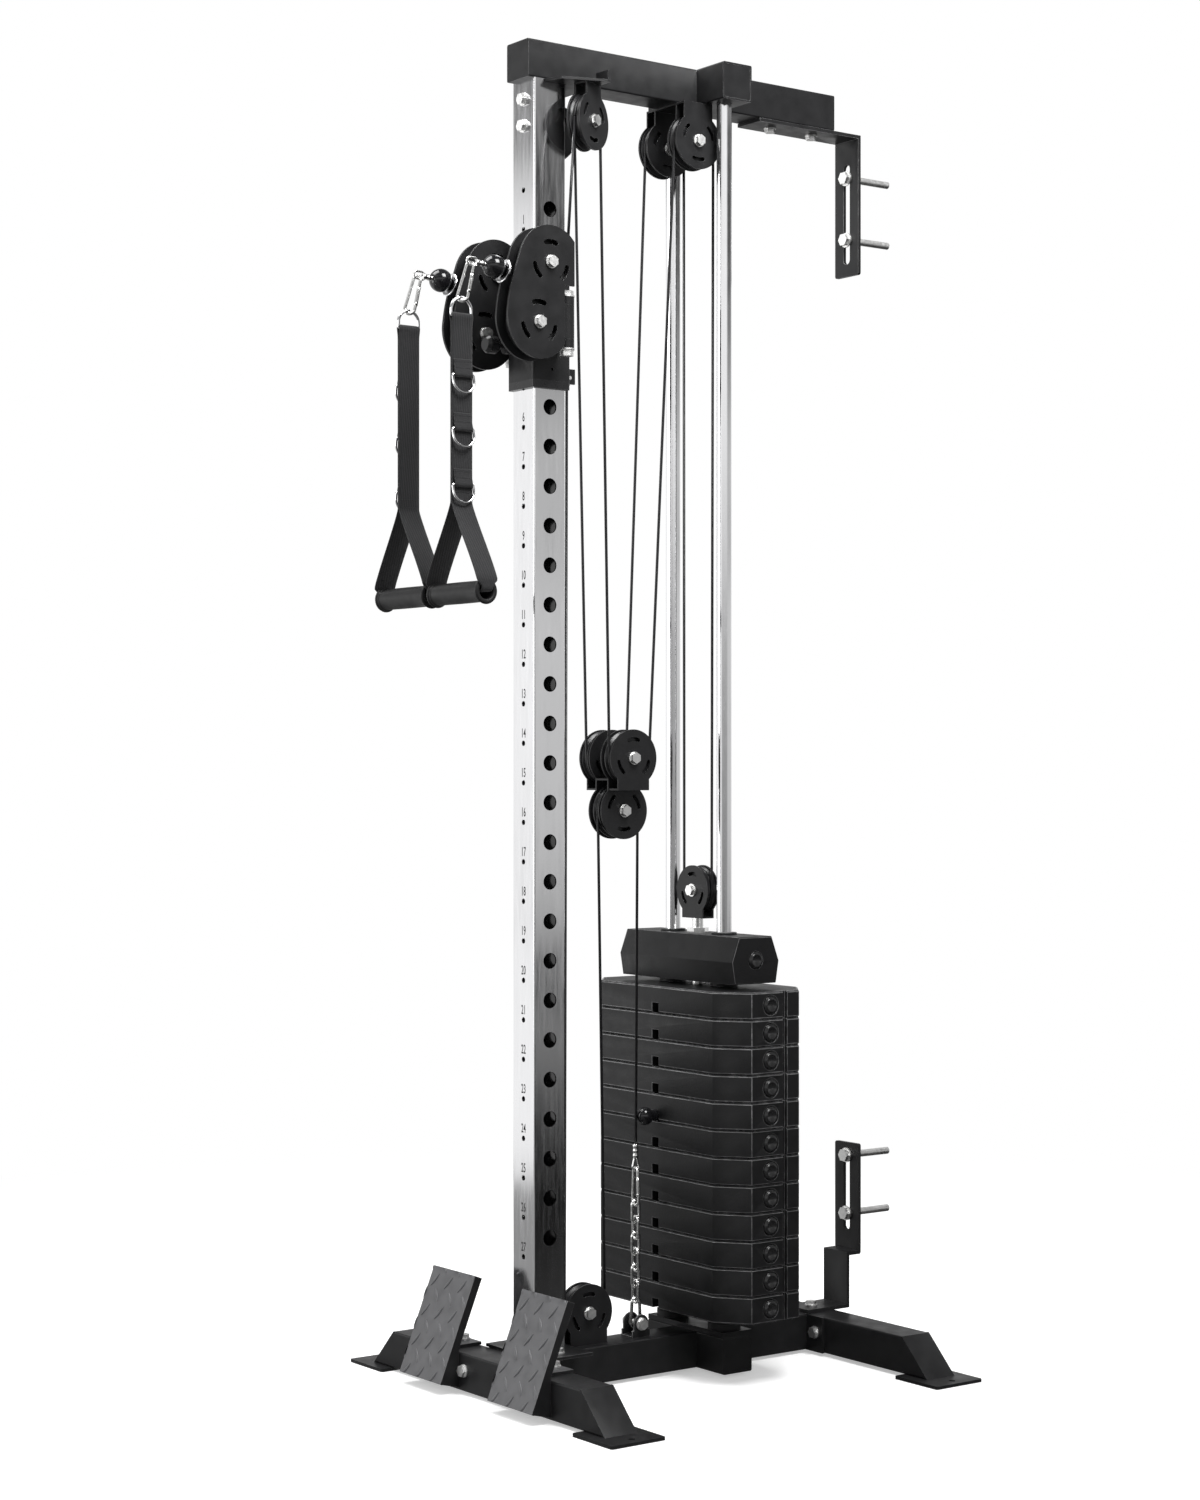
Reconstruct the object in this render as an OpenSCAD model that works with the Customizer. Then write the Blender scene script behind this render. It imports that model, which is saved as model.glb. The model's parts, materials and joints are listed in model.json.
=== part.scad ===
// Wall-mounted cable machine with a selector weight stack and a sliding double-pulley carriage.
// X is to the user's right as they face the wall, Y runs towards the wall and Z is up.

/* [Frame] */
// Outside width of every square frame tube
tube_w = 60; // [50:1:70]
// Wall thickness of the frame tubes
tube_wall = 3; // [2:0.5:5]
// Overall height, floor to the top of the beam
total_h = 2135; // [1900:5:2300]
// Distance from the upright to the wall bracket plates
wall_reach = 648; // [600:2:760]
// Width across the foot pads
base_width = 732; // [620:2:900]
// Thickness of the foot pads
pad_t = 5; // [3:0.5:8]
// Length and depth of each foot pad
pad_size = 100; // [80:2:120]
// Length of the short cross tubes that carry the guide rods
stub_len = 200; // [180:2:240]
// Thickness of the flange plates
flange_t = 5; // [4:0.5:8]

/* [Upright] */
// Distance between the numbered holes
hole_pitch = 62.4; // [50:0.2:75]
// Number of numbered holes
hole_count = 27; // [10:1:27]
// Height of the lowest numbered hole
first_hole_z = 216.9; // [200:0.1:240]
// Diameter of the locking holes in the front face
lock_hole_d = 9; // [6:0.5:12]
// Diameter of the large holes through the side faces
side_hole_d = 25; // [16:1:32]

/* [Carriage] */
// Outside width of the sliding sleeve
sleeve_w = 72; // [70:1:84]
// Wall thickness of the sleeve
sleeve_wall = 3; // [2:0.5:3.5]
// Height of the steel sleeve without its plastic rims
sleeve_h = 176; // [150:1:220]
// Height of each plastic rim
rim_h = 12; // [8:1:20]
// Number of the hole that the carriage is locked in, counted from the top
lock_position = 4; // [4:1:20]
// Sideways distance of the swivel hinges from the centre
hinge_x = 75; // [70:1:90]

/* [Pulleys] */
// Cable diameter
cable_d = 4.6; // [3:0.2:6]
// Radius of the cable's centre line on a pulley
cable_r = 40; // [34:1:42]
// Radius of the pulley rims
sheave_r = 44; // [40:1:46]
// Width of a pulley
sheave_w = 16; // [12:1:18]
// Diameter of the pulley bolts
axle_d = 10; // [8:1:12]
// Thickness of the pulley bracket plates
cheek_t = 3; // [2:0.5:4]
// Radius of the bracket cheeks
cheek_r = 46; // [44:1:50]
// Radius of the swivel cheeks
swivel_cheek_r = 57; // [52:1:60]
// Turn of the two front pulleys in plan
front_turn = 24; // [15:1:30]

/* [Weight stack] */
// Number of weight plates
plate_count = 12; // [8:1:12]
// Number of plates above the selector pin, the pinned one included
picked_count = 5; // [1:1:8]
// Distance from one weight plate to the next
plate_pitch = 44; // [36:0.5:44]
// Width of a weight plate
plate_w = 400; // [340:2:440]
// Depth of a weight plate
plate_d = 178; // [160:1:200]
// Corner cut of a weight plate, sideways
corner_x = 50; // [30:1:60]
// Corner cut of a weight plate, front to back
corner_y = 40; // [30:1:60]
// Guide rod diameter
rod_d = 25; // [20:1:30]
// Distance of each guide rod from the centre
rod_x = 68; // [60:1:80]
// Distance from the upright to the guide rods
rod_y = 322; // [310:1:360]
// Height of the rubber bumpers under the stack
bumper_h = 32; // [20:1:40]

/* [Foot plates] */
// Width of a foot plate
foot_w = 120; // [100:1:120]
// Length of a foot plate along its slope
foot_len = 177; // [150:1:200]
// Lean of the foot plates from the vertical
foot_lean = 22; // [15:1:30]
// Distance of the foot plates from the centre
foot_x = 126; // [110:1:150]

/* [Handles] */
// Diameter of the stopper balls
ball_d = 37; // [30:1:44]
// Width of the webbing
strap_w = 38; // [30:1:40]
// Thickness of one layer of webbing
strap_t = 2.5; // [1.5:0.1:3]
// Length of a grip
grip_len = 138; // [110:1:140]
// Diameter of a grip
grip_d = 33; // [28:1:38]

/* [Hidden] */
$fn = 48;
// Clearances: between moving pieces, between a liner and its track, and around bolts
run_gap = 0.3;
fit_gap = 0.08;
liner_gap = 0.4;
bolt_gap = 0.5;
rod_gap = 2;
// Heights of the frame
base_z = pad_t;
base_top = base_z + tube_w;
beam_z = total_h - tube_w;
upright_z = base_top + flange_t;
tube_r = 3;
// Front-to-back places of the frame, measured from the upright's centre
front_beam_y = -78;
rear_beam_y = wall_reach - 82;
flange_w = 142;
flange_bolt_x = 52;
spine_front = front_beam_y + tube_w / 2;
spine_rear = rear_beam_y - tube_w / 2;
beam_front = -41;
beam_rear = rear_beam_y + 28;
stub_y = rod_y + 2;
rod_plate_t = 8;
// Foot beams: the ends are cut at 45 degrees over the pads
slope_out = 44;
beam_half_bottom = base_width / 2 - slope_out;
beam_half_top = beam_half_bottom - tube_w;
// Wall brackets
bracket_w = 60;
bracket_t = 6;
bracket_slot_w = 16;
wall_plate_top_z = [1836, beam_z];
wall_plate_low_z = [154, 343];
wall_slot_top = [1857, 2029];
wall_slot_low = [192, 329];
stud_d = 12;
stud_len = 94;
stud_z_top = [1899, 2005];
stud_z_low = [221, 321];
bracket_bolt_top_y = [rear_beam_y - 90, rear_beam_y + 1];
// Weight stack
stack_z = base_top + rod_plate_t + bumper_h;
stack_top = stack_z + plate_count * plate_pitch;
plate_gap = 0.6;
stem_d = 22;
slot_w = 17;
slot_h = 16;
pin_d = 10;
pin_z = stack_top - picked_count * plate_pitch + slot_h / 2;
head_len = 300;
head_lift = 8;
head_z = stack_top + head_lift;
head_h = 76;
head_mid_z = head_z + 36;
bush_wall = 4;
stack_axle_z = head_z + head_h + 70;
stack_cable_r = 36.5;
stack_sheave_r = 39;
stack_cheek_r = 41;
// Upright holes
lock_z = first_hole_z + (hole_count - lock_position) * hole_pitch;
upright_bolt_z = [2003, 2045];
// Carriage and swivels, heights measured from the locking pin
sleeve_z = lock_z - 53;
upper_sheave_z = lock_z + 121.9;
lower_sheave_z = lock_z + 26.9;
swivel_cable_r = 42;
swivel_sheave_r = 46;
upper_sheave_y = -swivel_cable_r;
lower_sheave_y = -64;
lug_t = 13;
hinge_low_z = lock_z + 6;
hinge_high_z = lock_z + 60;
barrel_d = 24;
hinge_d = 12;
cheek_gap = sheave_w / 2 + 5.5;
pin_travel = 12;
lock_pin_d = lock_hole_d - 0.6;
low_lug_z = sleeve_z + 12;
low_lug_y = 54;
// Pulley places, measured from the upright's centre
top_axle_z = beam_z - 62.5;
front_axle = [51, 58];
rear_axle = [39, rod_y - 40];
block_y = 155.7;
block_z = 1005;
block_low_z = 920;
block_x = 31;
block_cheek_x = 14.5;
base_axle = [89.5, base_top + 51];
anchor_y = 192;
anchor_z = base_top + 22;
link_count = 6;
shackle_len = 38 + axle_d / 2;
chain_pitch = 26;
chain_z = anchor_z + 37.2;
hook_len = 56;
ferrule_z = chain_z + link_count * chain_pitch + hook_len + 18.7;
ferrule_len = 22;
// Handles
ball_y = -137;
ball_z = upper_sheave_z - 15.5;
eye_y = ball_y - 40;
eye_z = ball_z + 4;
ring_y = -197;
ring_z = ball_z - 59;
bar_drop = 22.3;
strap_fork = ring_z - 311;
grip_z = ring_z - 444;
ring_w = 41.6;
// The origin lies on the floor at the middle of the object's depth
origin_shift = (wall_reach + stud_len + ring_y - ring_w / 2) / 2;
grip_wall = 3.5;
flange_d = 40;
// Colours
black = [0.06, 0.06, 0.065];
steel = [0.8, 0.8, 0.82];
rubber = [0.1, 0.1, 0.1];
tread = [0.35, 0.36, 0.37];

// Everything is drawn from the upright's centre line and then moved to the origin
module from_upright() {
  translate([0, -origin_shift, 0]) children();
}

// Outline of a square tube or plate with rounded corners
module round_square(w, d, r) {
  square([w - 2 * r, d], center = true);
  square([w, d - 2 * r], center = true);
  for (x = [-1, 1], y = [-1, 1])
    translate([x * (w / 2 - r), y * (d / 2 - r)]) circle(r, $fn = 24);
}

// Square tube along Z, open at both ends
module box_tube(length) {
  linear_extrude(length) difference() {
    round_square(tube_w, tube_w, tube_r);
    round_square(tube_w - 2 * tube_wall, tube_w - 2 * tube_wall, tube_r - 1);
  }
}

// Square tube along Y between two places, with its underside at z
module tube_y(y0, y1, z) {
  translate([0, y1, z + tube_w / 2]) rotate([90, 0, 0]) box_tube(y1 - y0);
}

// Square tube along X, centred
module tube_x(length, y, z) {
  translate([-length / 2, y, z + tube_w / 2]) rotate([0, 90, 0]) box_tube(length);
}

// Cylinder of one diameter between two points
module rod_between(a, b, d) {
  v = b - a;
  len = norm(v);
  turn = atan2(v[1], v[0]);
  lean = acos(v[2] / len);
  translate(a) rotate([0, lean, turn]) cylinder(h = len, d = d, $fn = 16);
}

// Part of a ring in the XY plane, counted from +X
module arc_rod(r, d, from, to) {
  rotate([0, 0, from]) rotate_extrude(angle = to - from) translate([r, 0]) circle(d = d, $fn = 16);
}

// Turns a shape whose axis is Z so that its axis is X, with its X along Y and its Y along Z
module axis_x() {
  rotate([90, 0, 90]) children();
}

// Hex bolt along -Z with its head above z = 0, and a nut at the far end of the grip
module hex_bolt(d, grip, nut = true) {
  translate([0, 0, 0.1]) cylinder(h = 0.2 * d, r = 1.05 * d, $fn = 32);
  translate([0, 0, 0.2 * d]) cylinder(h = 0.62 * d, r = 0.92 * d, $fn = 6);
  translate([0, 0, -grip - (nut ? d : 0)]) cylinder(h = grip + (nut ? d : 0) + d / 4, d = d, $fn = 24);
  if (nut) translate([0, 0, -grip - 0.2 * d - 0.1]) cylinder(h = 0.2 * d, r = 1.05 * d, $fn = 32);
  if (nut) translate([0, 0, -grip - d - 0.1]) cylinder(h = 0.85 * d, r = 0.92 * d, $fn = 6);
}

// Grooved pulley about Z with a recess in both faces, for a cable whose centre runs at radius r
module sheave(rim, r, w, bore) {
  seat = cable_d / 2 + run_gap;
  difference() {
    rotate_extrude($fn = 64) difference() {
      translate([bore, -w / 2]) square([rim - bore, w]);
      translate([r, 0]) circle(seat, $fn = 24);
      polygon([[r, seat], [rim + 1, w / 2 - 1.6], [rim + 1, 1.6 - w / 2], [r, -seat]]);
      for (s = [-1, 1]) translate([0.42 * rim, s > 0 ? w / 2 - 3 : -w / 2 - 1]) square([0.36 * rim, 4]);
    }
  }
}

// Curved slot at radius r, centred on an angle
module arc_slot(r, w, half_angle, at) {
  rotate([0, 0, at]) {
    intersection() {
      difference() {
        circle(r + w / 2);
        circle(r - w / 2);
      }
      polygon([[0, 0], 2 * r * [cos(half_angle), -sin(half_angle)],
        2 * r * [cos(half_angle), sin(half_angle)]]);
    }
    for (s = [-1, 1]) rotate([0, 0, s * half_angle]) translate([r, 0]) circle(w / 2 - 0.2, $fn = 24);
  }
}

// Bracket cheek: a disc round the bolt with a neck along +Y, three curved slots and the bolt hole
module cheek(r, neck_w, neck_h) {
  difference() {
    union() {
      circle(r, $fn = 64);
      translate([-neck_w / 2, 0]) square([neck_w, neck_h]);
    }
    circle(axle_d / 2 + bolt_gap);
    for (a = [-90, 30, 150]) arc_slot(0.66 * r, 6.5, 19, a);
  }
}

// Bent bracket round one pulley, its axle along Z and its bridge at neck_h along +Y
module pulley_bracket(r, neck_w, neck_h, inside) {
  for (s = [0, 1]) mirror([0, 0, s]) translate([0, 0, inside / 2]) linear_extrude(cheek_t)
    cheek(r, neck_w, neck_h);
  translate([-neck_w / 2, neck_h - cheek_t, -inside / 2 - 1]) cube([neck_w, cheek_t, inside + 2]);
}

// Gap between the cheeks of the ordinary brackets
bracket_in = sheave_w + 2;

// FRAME_PARTS
module upright() {
  color(steel) from_upright() difference() {
    translate([0, 0, upright_z]) box_tube(beam_z - upright_z);
    for (n = [0 : hole_count])
      translate([0, -tube_w / 2 - 1, first_hole_z + n * hole_pitch]) rotate([-90, 0, 0])
        cylinder(h = tube_wall + 2, d = lock_hole_d);
    for (n = [0 : hole_count - 1])
      translate([-tube_w / 2 - 1, 0, first_hole_z + (n + 0.5) * hole_pitch]) rotate([0, 90, 0])
        cylinder(h = tube_w + 2, d = side_hole_d);
    for (z = upright_bolt_z)
      translate([0, -tube_w / 2 - 1, z]) rotate([-90, 0, 0])
        cylinder(h = tube_w + 2, d = axle_d + 2 * bolt_gap);
  }
}

module upright_base_plate() {
  color(black) from_upright() translate([0, 0, base_top]) linear_extrude(flange_t) difference() {
    square([156, 2 * (1 - spine_front)], center = true);
    for (x = [-1, 1]) translate([x * flange_bolt_x, 0]) circle(axle_d / 2 + bolt_gap);
  }
}

module top_beam() {
  color(black) from_upright() difference() {
    union() {
      tube_y(beam_front, beam_rear, beam_z);
      tube_x(stub_len, stub_y, beam_z);
      // Closed ends of the beam and the cross tube
      translate([-tube_w / 2 + 1, beam_front, beam_z + 1]) cube([tube_w - 2, tube_wall, tube_w - 2]);
      translate([-tube_w / 2 + 1, beam_rear - 4, beam_z + 1]) cube([tube_w - 2, tube_wall, tube_w - 2]);
      for (s = [-1, 1]) translate([s * (stub_len / 2 - 2) - 1.5, stub_y - tube_w / 2 + 1, beam_z + 1])
        cube([tube_wall, tube_w - 2, tube_w - 2]);
    }
    for (s = [-1, 1]) translate([s * rod_x, rod_y, beam_z - 1])
      cylinder(h = tube_wall + 2, d = rod_d + 2 * bolt_gap);
    for (y = bracket_bolt_top_y) translate([0, y, beam_z - 1])
      cylinder(h = tube_w + 2, d = axle_d + 2 * bolt_gap);
  }
}

module base_spine() {
  color(black) from_upright() difference() {
    union() {
      tube_y(spine_front + flange_t - 0.5, spine_rear - flange_t + 0.5, base_z);
      tube_x(stub_len, stub_y, base_z);
      for (s = [-1, 1]) translate([s * (stub_len / 2 - 2) - 1.5, stub_y - tube_w / 2 + 1, base_z + 1])
        cube([tube_wall, tube_w - 2, tube_w - 2]);
      // Plate that the guide rods stand in
      translate([-stub_len / 2, stub_y - tube_w / 2, base_top]) cube([stub_len, tube_w, rod_plate_t]);
      for (y = [spine_front, spine_rear - flange_t])
        translate([-flange_w / 2, y, base_z]) cube([flange_w, flange_t, tube_w]);
    }
    for (s = [-1, 1]) translate([s * rod_x, rod_y, base_top - tube_wall - 1])
      cylinder(h = rod_plate_t + tube_wall + 2, d = rod_d + 2 * bolt_gap);
    for (s = [-1, 1], y = [spine_front, spine_rear - flange_t])
      translate([s * flange_bolt_x, y - 1, base_z + tube_w / 2 + 3]) rotate([-90, 0, 0])
        cylinder(h = flange_t + 2, d = axle_d + 2 * bolt_gap);
  }
}

// Cross beam on two pads, its ends cut at 45 degrees and closed by a sloping plate
module foot_beam(y) {
  difference() {
    union() {
      intersection() {
        tube_x(2 * beam_half_bottom, y, base_z);
        translate([0, y + tube_w, 0]) rotate([90, 0, 0]) linear_extrude(2 * tube_w)
          polygon([[-beam_half_bottom, base_z], [beam_half_bottom, base_z],
            [beam_half_top, base_top], [-beam_half_top, base_top]]);
      }
      for (s = [0, 1]) mirror([s, 0, 0]) {
        translate([0, y + tube_w / 2, 0]) rotate([90, 0, 0]) linear_extrude(tube_w)
          polygon([[beam_half_bottom, base_z], [beam_half_top, base_top],
            [beam_half_top - 4.2, base_top], [beam_half_bottom - 4.2, base_z]]);
        translate([base_width / 2 - pad_size, y - pad_size / 2, 0]) linear_extrude(pad_t)
          translate([pad_size / 2, pad_size / 2]) round_square(pad_size, pad_size, 4);
      }
    }
    for (s = [-1, 1]) translate([s * (base_width / 2 - 18), y, -1]) cylinder(h = pad_t + 2, d = axle_d + 1);
    for (s = [-1, 1]) translate([s * flange_bolt_x, y - tube_w, base_z + tube_w / 2 + 3]) rotate([-90, 0, 0])
      cylinder(h = 2 * tube_w, d = axle_d + 2 * bolt_gap);
    if (y > 0) translate([0, bracket_bolt_top_y[1], base_top - tube_wall - 1])
      cylinder(h = tube_wall + 2, d = axle_d + 2 * bolt_gap);
    if (y < 0) for (s = [-1, 1]) translate([s * foot_x, y + tab_bolt, base_z - 1])
      cylinder(h = tube_w + 2, d = axle_d + 2 * bolt_gap);
  }
}
tab_bolt = 18;

module front_foot_beam() {
  color(black) from_upright() foot_beam(front_beam_y);
}

module rear_foot_beam() {
  color(black) from_upright() foot_beam(rear_beam_y);
}

// Sloping foot plate with folded cheeks and a tab bolted to the front beam
foot_sheet = 4;
foot_foot_z = 18;
foot_front_y = front_beam_y - tube_w / 2 - foot_len * sin(foot_lean) + 30.5;
module foot_plate() {
  low = [foot_front_y, foot_foot_z];
  high = low + foot_len * [sin(foot_lean), cos(foot_lean)];
  back = [cos(foot_lean), -sin(foot_lean)];
  beam_face = front_beam_y - tube_w / 2 - run_gap;
  tab_front = foot_front_y + (base_top - foot_foot_z) * tan(foot_lean) + 1;
  rotate([90, 0, 90]) translate([0, 0, -foot_w / 2]) {
    linear_extrude(foot_w) polygon([low, high, high + foot_sheet * back, low + foot_sheet * back]);
    for (x = [0, foot_w - foot_sheet]) translate([0, 0, x]) linear_extrude(foot_sheet)
      polygon([low, high, high + 14 * back, [beam_face, base_top + flange_t], [beam_face, base_z + 4]]);
    // Tab from the back of the sheet over the beam
    translate([0, 0, foot_w / 2 - 34]) linear_extrude(68)
      polygon([[tab_front, base_top + run_gap], [front_beam_y + 30, base_top + run_gap],
        [front_beam_y + 30, base_top + flange_t],
        [tab_front + flange_t * tan(foot_lean), base_top + flange_t]]);
  }
}

module foot_plates() {
  color(tread) from_upright() difference() {
    for (s = [-1, 1]) translate([s * foot_x, 0, 0]) foot_plate();
    for (s = [-1, 1]) translate([s * foot_x, front_beam_y + tab_bolt, base_top - 1])
      cylinder(h = 12, d = axle_d + 2 * bolt_gap);
  }
}

// Slotted upright leg of a wall bracket, facing the wall
module slotted_leg(z0, z1, slot) {
  translate([0, wall_reach + bracket_t, 0]) rotate([90, 0, 0]) linear_extrude(bracket_t) difference() {
    translate([0, (z0 + z1) / 2]) round_square(bracket_w, z1 - z0, 4);
    translate([-bracket_slot_w / 2, slot[0] + bracket_slot_w / 2])
      square([bracket_slot_w, slot[1] - slot[0] - bracket_slot_w]);
    for (z = [slot[0] + bracket_slot_w / 2, slot[1] - bracket_slot_w / 2]) translate([0, z])
      circle(bracket_slot_w / 2);
  }
}

module wall_bracket_top() {
  foot = bracket_bolt_top_y[0] - 46;
  color(black) from_upright() difference() {
    union() {
      slotted_leg(wall_plate_top_z[0], wall_plate_top_z[1], wall_slot_top);
      translate([-bracket_w / 2, foot, beam_z - bracket_t])
        cube([bracket_w, wall_reach + bracket_t - foot, bracket_t]);
    }
    for (y = bracket_bolt_top_y) translate([0, y, beam_z - bracket_t - 1])
      cylinder(h = bracket_t + 2, d = axle_d + 2 * bolt_gap);
  }
}

module wall_bracket_bottom() {
  foot = bracket_bolt_top_y[1] - 32;
  riser = wall_reach - 26;
  color(black) from_upright() difference() {
    union() {
      slotted_leg(wall_plate_low_z[0], wall_plate_low_z[1], wall_slot_low);
      translate([-bracket_w / 2, riser, wall_plate_low_z[0]]) cube([bracket_w, 30, bracket_t]);
      translate([-bracket_w / 2, riser, base_top])
        cube([bracket_w, bracket_t, wall_plate_low_z[0] - base_top + 1]);
      translate([-bracket_w / 2, foot, base_top]) cube([bracket_w, riser - foot + 1, bracket_t]);
    }
    translate([0, bracket_bolt_top_y[1], base_top - 1])
      cylinder(h = bracket_t + 2, d = axle_d + 2 * bolt_gap);
  }
}

// Wall anchors: a hex head and washer in front of the slot and a stud through it
module wall_anchor_bolts() {
  color(steel) from_upright() for (z = concat(stud_z_top, stud_z_low))
    translate([0, wall_reach, z]) rotate([90, 0, 0]) hex_bolt(stud_d, stud_len, nut = false);
}

module frame_bolts() {
  bolt_z = base_z + tube_w / 2 + 3;
  color(steel) from_upright() {
    for (z = upright_bolt_z) translate([0, -tube_w / 2, z]) rotate([90, 0, 0]) hex_bolt(axle_d, tube_w);
    for (s = [-1, 1]) {
      translate([s * flange_bolt_x, front_beam_y - tube_w / 2, bolt_z]) rotate([90, 0, 0])
        hex_bolt(axle_d, tube_w + flange_t);
      translate([s * flange_bolt_x, spine_rear - flange_t, bolt_z]) rotate([90, 0, 0])
        hex_bolt(axle_d, tube_w + flange_t);
      translate([s * foot_x, front_beam_y + tab_bolt, base_top + flange_t])
        hex_bolt(axle_d, flange_t + 10, nut = false);
      translate([s * flange_bolt_x, 0, base_top + flange_t]) hex_bolt(axle_d, flange_t - 1, nut = false);
      translate([s * (front_axle[0]), front_axle[1], top_axle_z]) rotate([0, 0, s * front_turn])
        rotate([0, s * 90, 0]) translate([0, 0, bracket_in / 2 + cheek_t])
          hex_bolt(axle_d, bracket_in + 2 * cheek_t);
      translate([s * (rear_axle[0] + bracket_in / 2 + cheek_t), rear_axle[1], top_axle_z])
        rotate([0, s * 90, 0])
        hex_bolt(axle_d, bracket_in + 2 * cheek_t);
    }
    for (y = bracket_bolt_top_y) translate([0, y, beam_z - bracket_t]) rotate([180, 0, 0])
      hex_bolt(axle_d, bracket_t + tube_wall);
    translate([0, bracket_bolt_top_y[1], base_top + bracket_t]) hex_bolt(axle_d, bracket_t + tube_wall);
    translate([bracket_in / 2 + cheek_t, base_axle[0], base_axle[1]]) rotate([0, 90, 0])
      hex_bolt(axle_d, bracket_in + 2 * cheek_t);
    translate([12 + cheek_t, anchor_y, anchor_z]) rotate([0, 90, 0]) hex_bolt(axle_d, 24 + 2 * cheek_t);
  }
}

module guide_rods() {
  color(steel) from_upright() for (s = [-1, 1])
    translate([s * rod_x, rod_y, base_top]) cylinder(h = beam_z + tube_wall - base_top, d = rod_d);
}

module stack_bumpers() {
  color(rubber) from_upright() for (s = [-1, 1])
    translate([s * rod_x, rod_y, base_top + rod_plate_t]) difference() {
      rotate_extrude() difference() {
        translate([rod_d / 2 + 0.5, 0]) square([14, bumper_h - run_gap]);
        translate([rod_d / 2 + 16, bumper_h / 2]) circle(5, $fn = 24);
      }
    }
}

// Outline of a weight plate, drawn in by an inset
module plate_outline(inset) {
  x = plate_w / 2 - inset;
  y = plate_d / 2 - inset;
  k = inset * 0.4;
  polygon([[x - corner_x + k, -y], [x, -y + corner_y - k], [x, y - corner_y + k], [x - corner_x + k, y],
    [corner_x - k - x, y], [-x, y - corner_y + k], [-x, -y + corner_y - k], [corner_x - k - x, -y]]);
}

// One weight plate: bevelled edges, guide and stem holes, a selector slot, side grooves and filler plugs
module weight_plate() {
  t = plate_pitch - plate_gap;
  difference() {
    hull() {
      linear_extrude(t) plate_outline(2.2);
      translate([0, 0, 2.2]) linear_extrude(t - 4.4) plate_outline(0);
    }
    for (s = [-1, 1]) translate([s * rod_x, 0, -1]) cylinder(h = t + 2, d = rod_d + 2 * rod_gap);
    translate([0, 0, -1]) cylinder(h = t + 2, d = stem_d + 2 * rod_gap);
    translate([-slot_w / 2, -plate_d / 2 - 1, -1]) cube([slot_w, plate_d / 2 - 4, slot_h + 1]);
    for (s = [-1, 1]) {
      translate([s * plate_w / 2 - 6, 16, -1]) cube([12, 8, t + 2]);
      translate([s * plate_w / 2, -10, t / 2]) rotate([0, 90, 0]) difference() {
        cylinder(h = 6, r = 16, center = true);
        cylinder(h = 8, r = 13, center = true);
      }
    }
  }
}

// Stack of plates from one number to another, counted from the bottom
module plates(from, to) {
  for (i = [from : to]) translate([0, rod_y - 1, stack_z + i * plate_pitch]) weight_plate();
}

module picked_plates() {
  color(black) from_upright() plates(plate_count - picked_count, plate_count - 1);
}

module resting_plates() {
  color(black) from_upright() plates(0, plate_count - picked_count - 1);
}

// Six-sided head plate along X with a plug in each end, and a plain bush round each rod
module head_plate() {
  edge = [[-44, 0], [44, 0], [50, head_mid_z - head_z], [35, head_h], [-35, head_h],
    [-50, head_mid_z - head_z]];
  color(black) from_upright() translate([0, rod_y - 1, head_z]) {
    difference() {
      rotate([90, 0, 90]) translate([0, 0, -head_len / 2]) hull() {
        linear_extrude(head_len) polygon(0.96 * edge + [for (p = edge) [0, 1.5]]);
        translate([0, 0, 3]) linear_extrude(head_len - 6) polygon(edge);
      }
      for (s = [-1, 1]) {
        translate([s * rod_x, 1, -1]) cylinder(h = head_h + 2, r = rod_d / 2 + run_gap + bush_wall + 0.05);
        translate([s * head_len / 2, 0, head_mid_z - head_z + 2]) rotate([0, 90, 0]) difference() {
          cylinder(h = 5, r = 15, center = true);
          cylinder(h = 7, r = 12.5, center = true);
        }
      }
      translate([0, 0, -1]) cylinder(h = head_h + 2, d = stem_d + 0.1);
    }
    for (s = [-1, 1]) translate([s * rod_x, 1, -head_lift + run_gap]) difference() {
      union() {
        cylinder(h = head_h + head_lift + 3, r = rod_d / 2 + run_gap + bush_wall);
        cylinder(h = head_lift - run_gap - 0.1, r = rod_d / 2 + run_gap + bush_wall + 6);
        translate([0, 0, head_h + head_lift]) cylinder(h = 3, r = rod_d / 2 + run_gap + bush_wall + 4);
      }
      translate([0, 0, -1]) cylinder(h = head_h + 2 * head_lift, r = rod_d / 2 + run_gap);
    }
  }
}

// Stem with a cross hole behind each selector slot, and a thinner stud up to the pulley bracket
module selector_stem() {
  color(steel) from_upright() translate([0, rod_y - 1, 0]) difference() {
    union() {
      translate([0, 0, stack_z + 4]) cylinder(h = head_z + head_h - stack_z - 4, d = stem_d);
      translate([0, 0, head_z + head_h]) cylinder(h = 8, r = 18, $fn = 6);
      translate([0, 0, head_z + head_h]) cylinder(h = stack_axle_z - 46 - head_z - head_h, d = 18);
    }
    for (i = [0 : plate_count - 1])
      translate([0, -stem_d, stack_z + i * plate_pitch + slot_h / 2 + 0.2]) rotate([-90, 0, 0])
        cylinder(h = 2 * stem_d, d = pin_d + 1);
  }
}

module selector_pin() {
  face = rod_y - 1 - plate_d / 2;
  color(black) from_upright() translate([0, 0, pin_z + 0.2]) rotate([-90, 0, 0]) {
    translate([0, 0, face - 6]) cylinder(h = plate_d / 2 + stem_d / 2 + 6, d = pin_d);
    translate([0, 0, face - 12]) cylinder(h = 11.4, r = 9);
    translate([0, 0, face - 22]) sphere(15, $fn = 40);
  }
}

module stack_pulley_bracket() {
  color(black) from_upright() translate([0, rod_y - 1, stack_axle_z]) rotate([-90, 0, 0]) difference() {
    pulley_bracket(stack_cheek_r, 54, 46, bracket_in);
    rotate([-90, 0, 0]) cylinder(h = 60, d = 10);
  }
}

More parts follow.
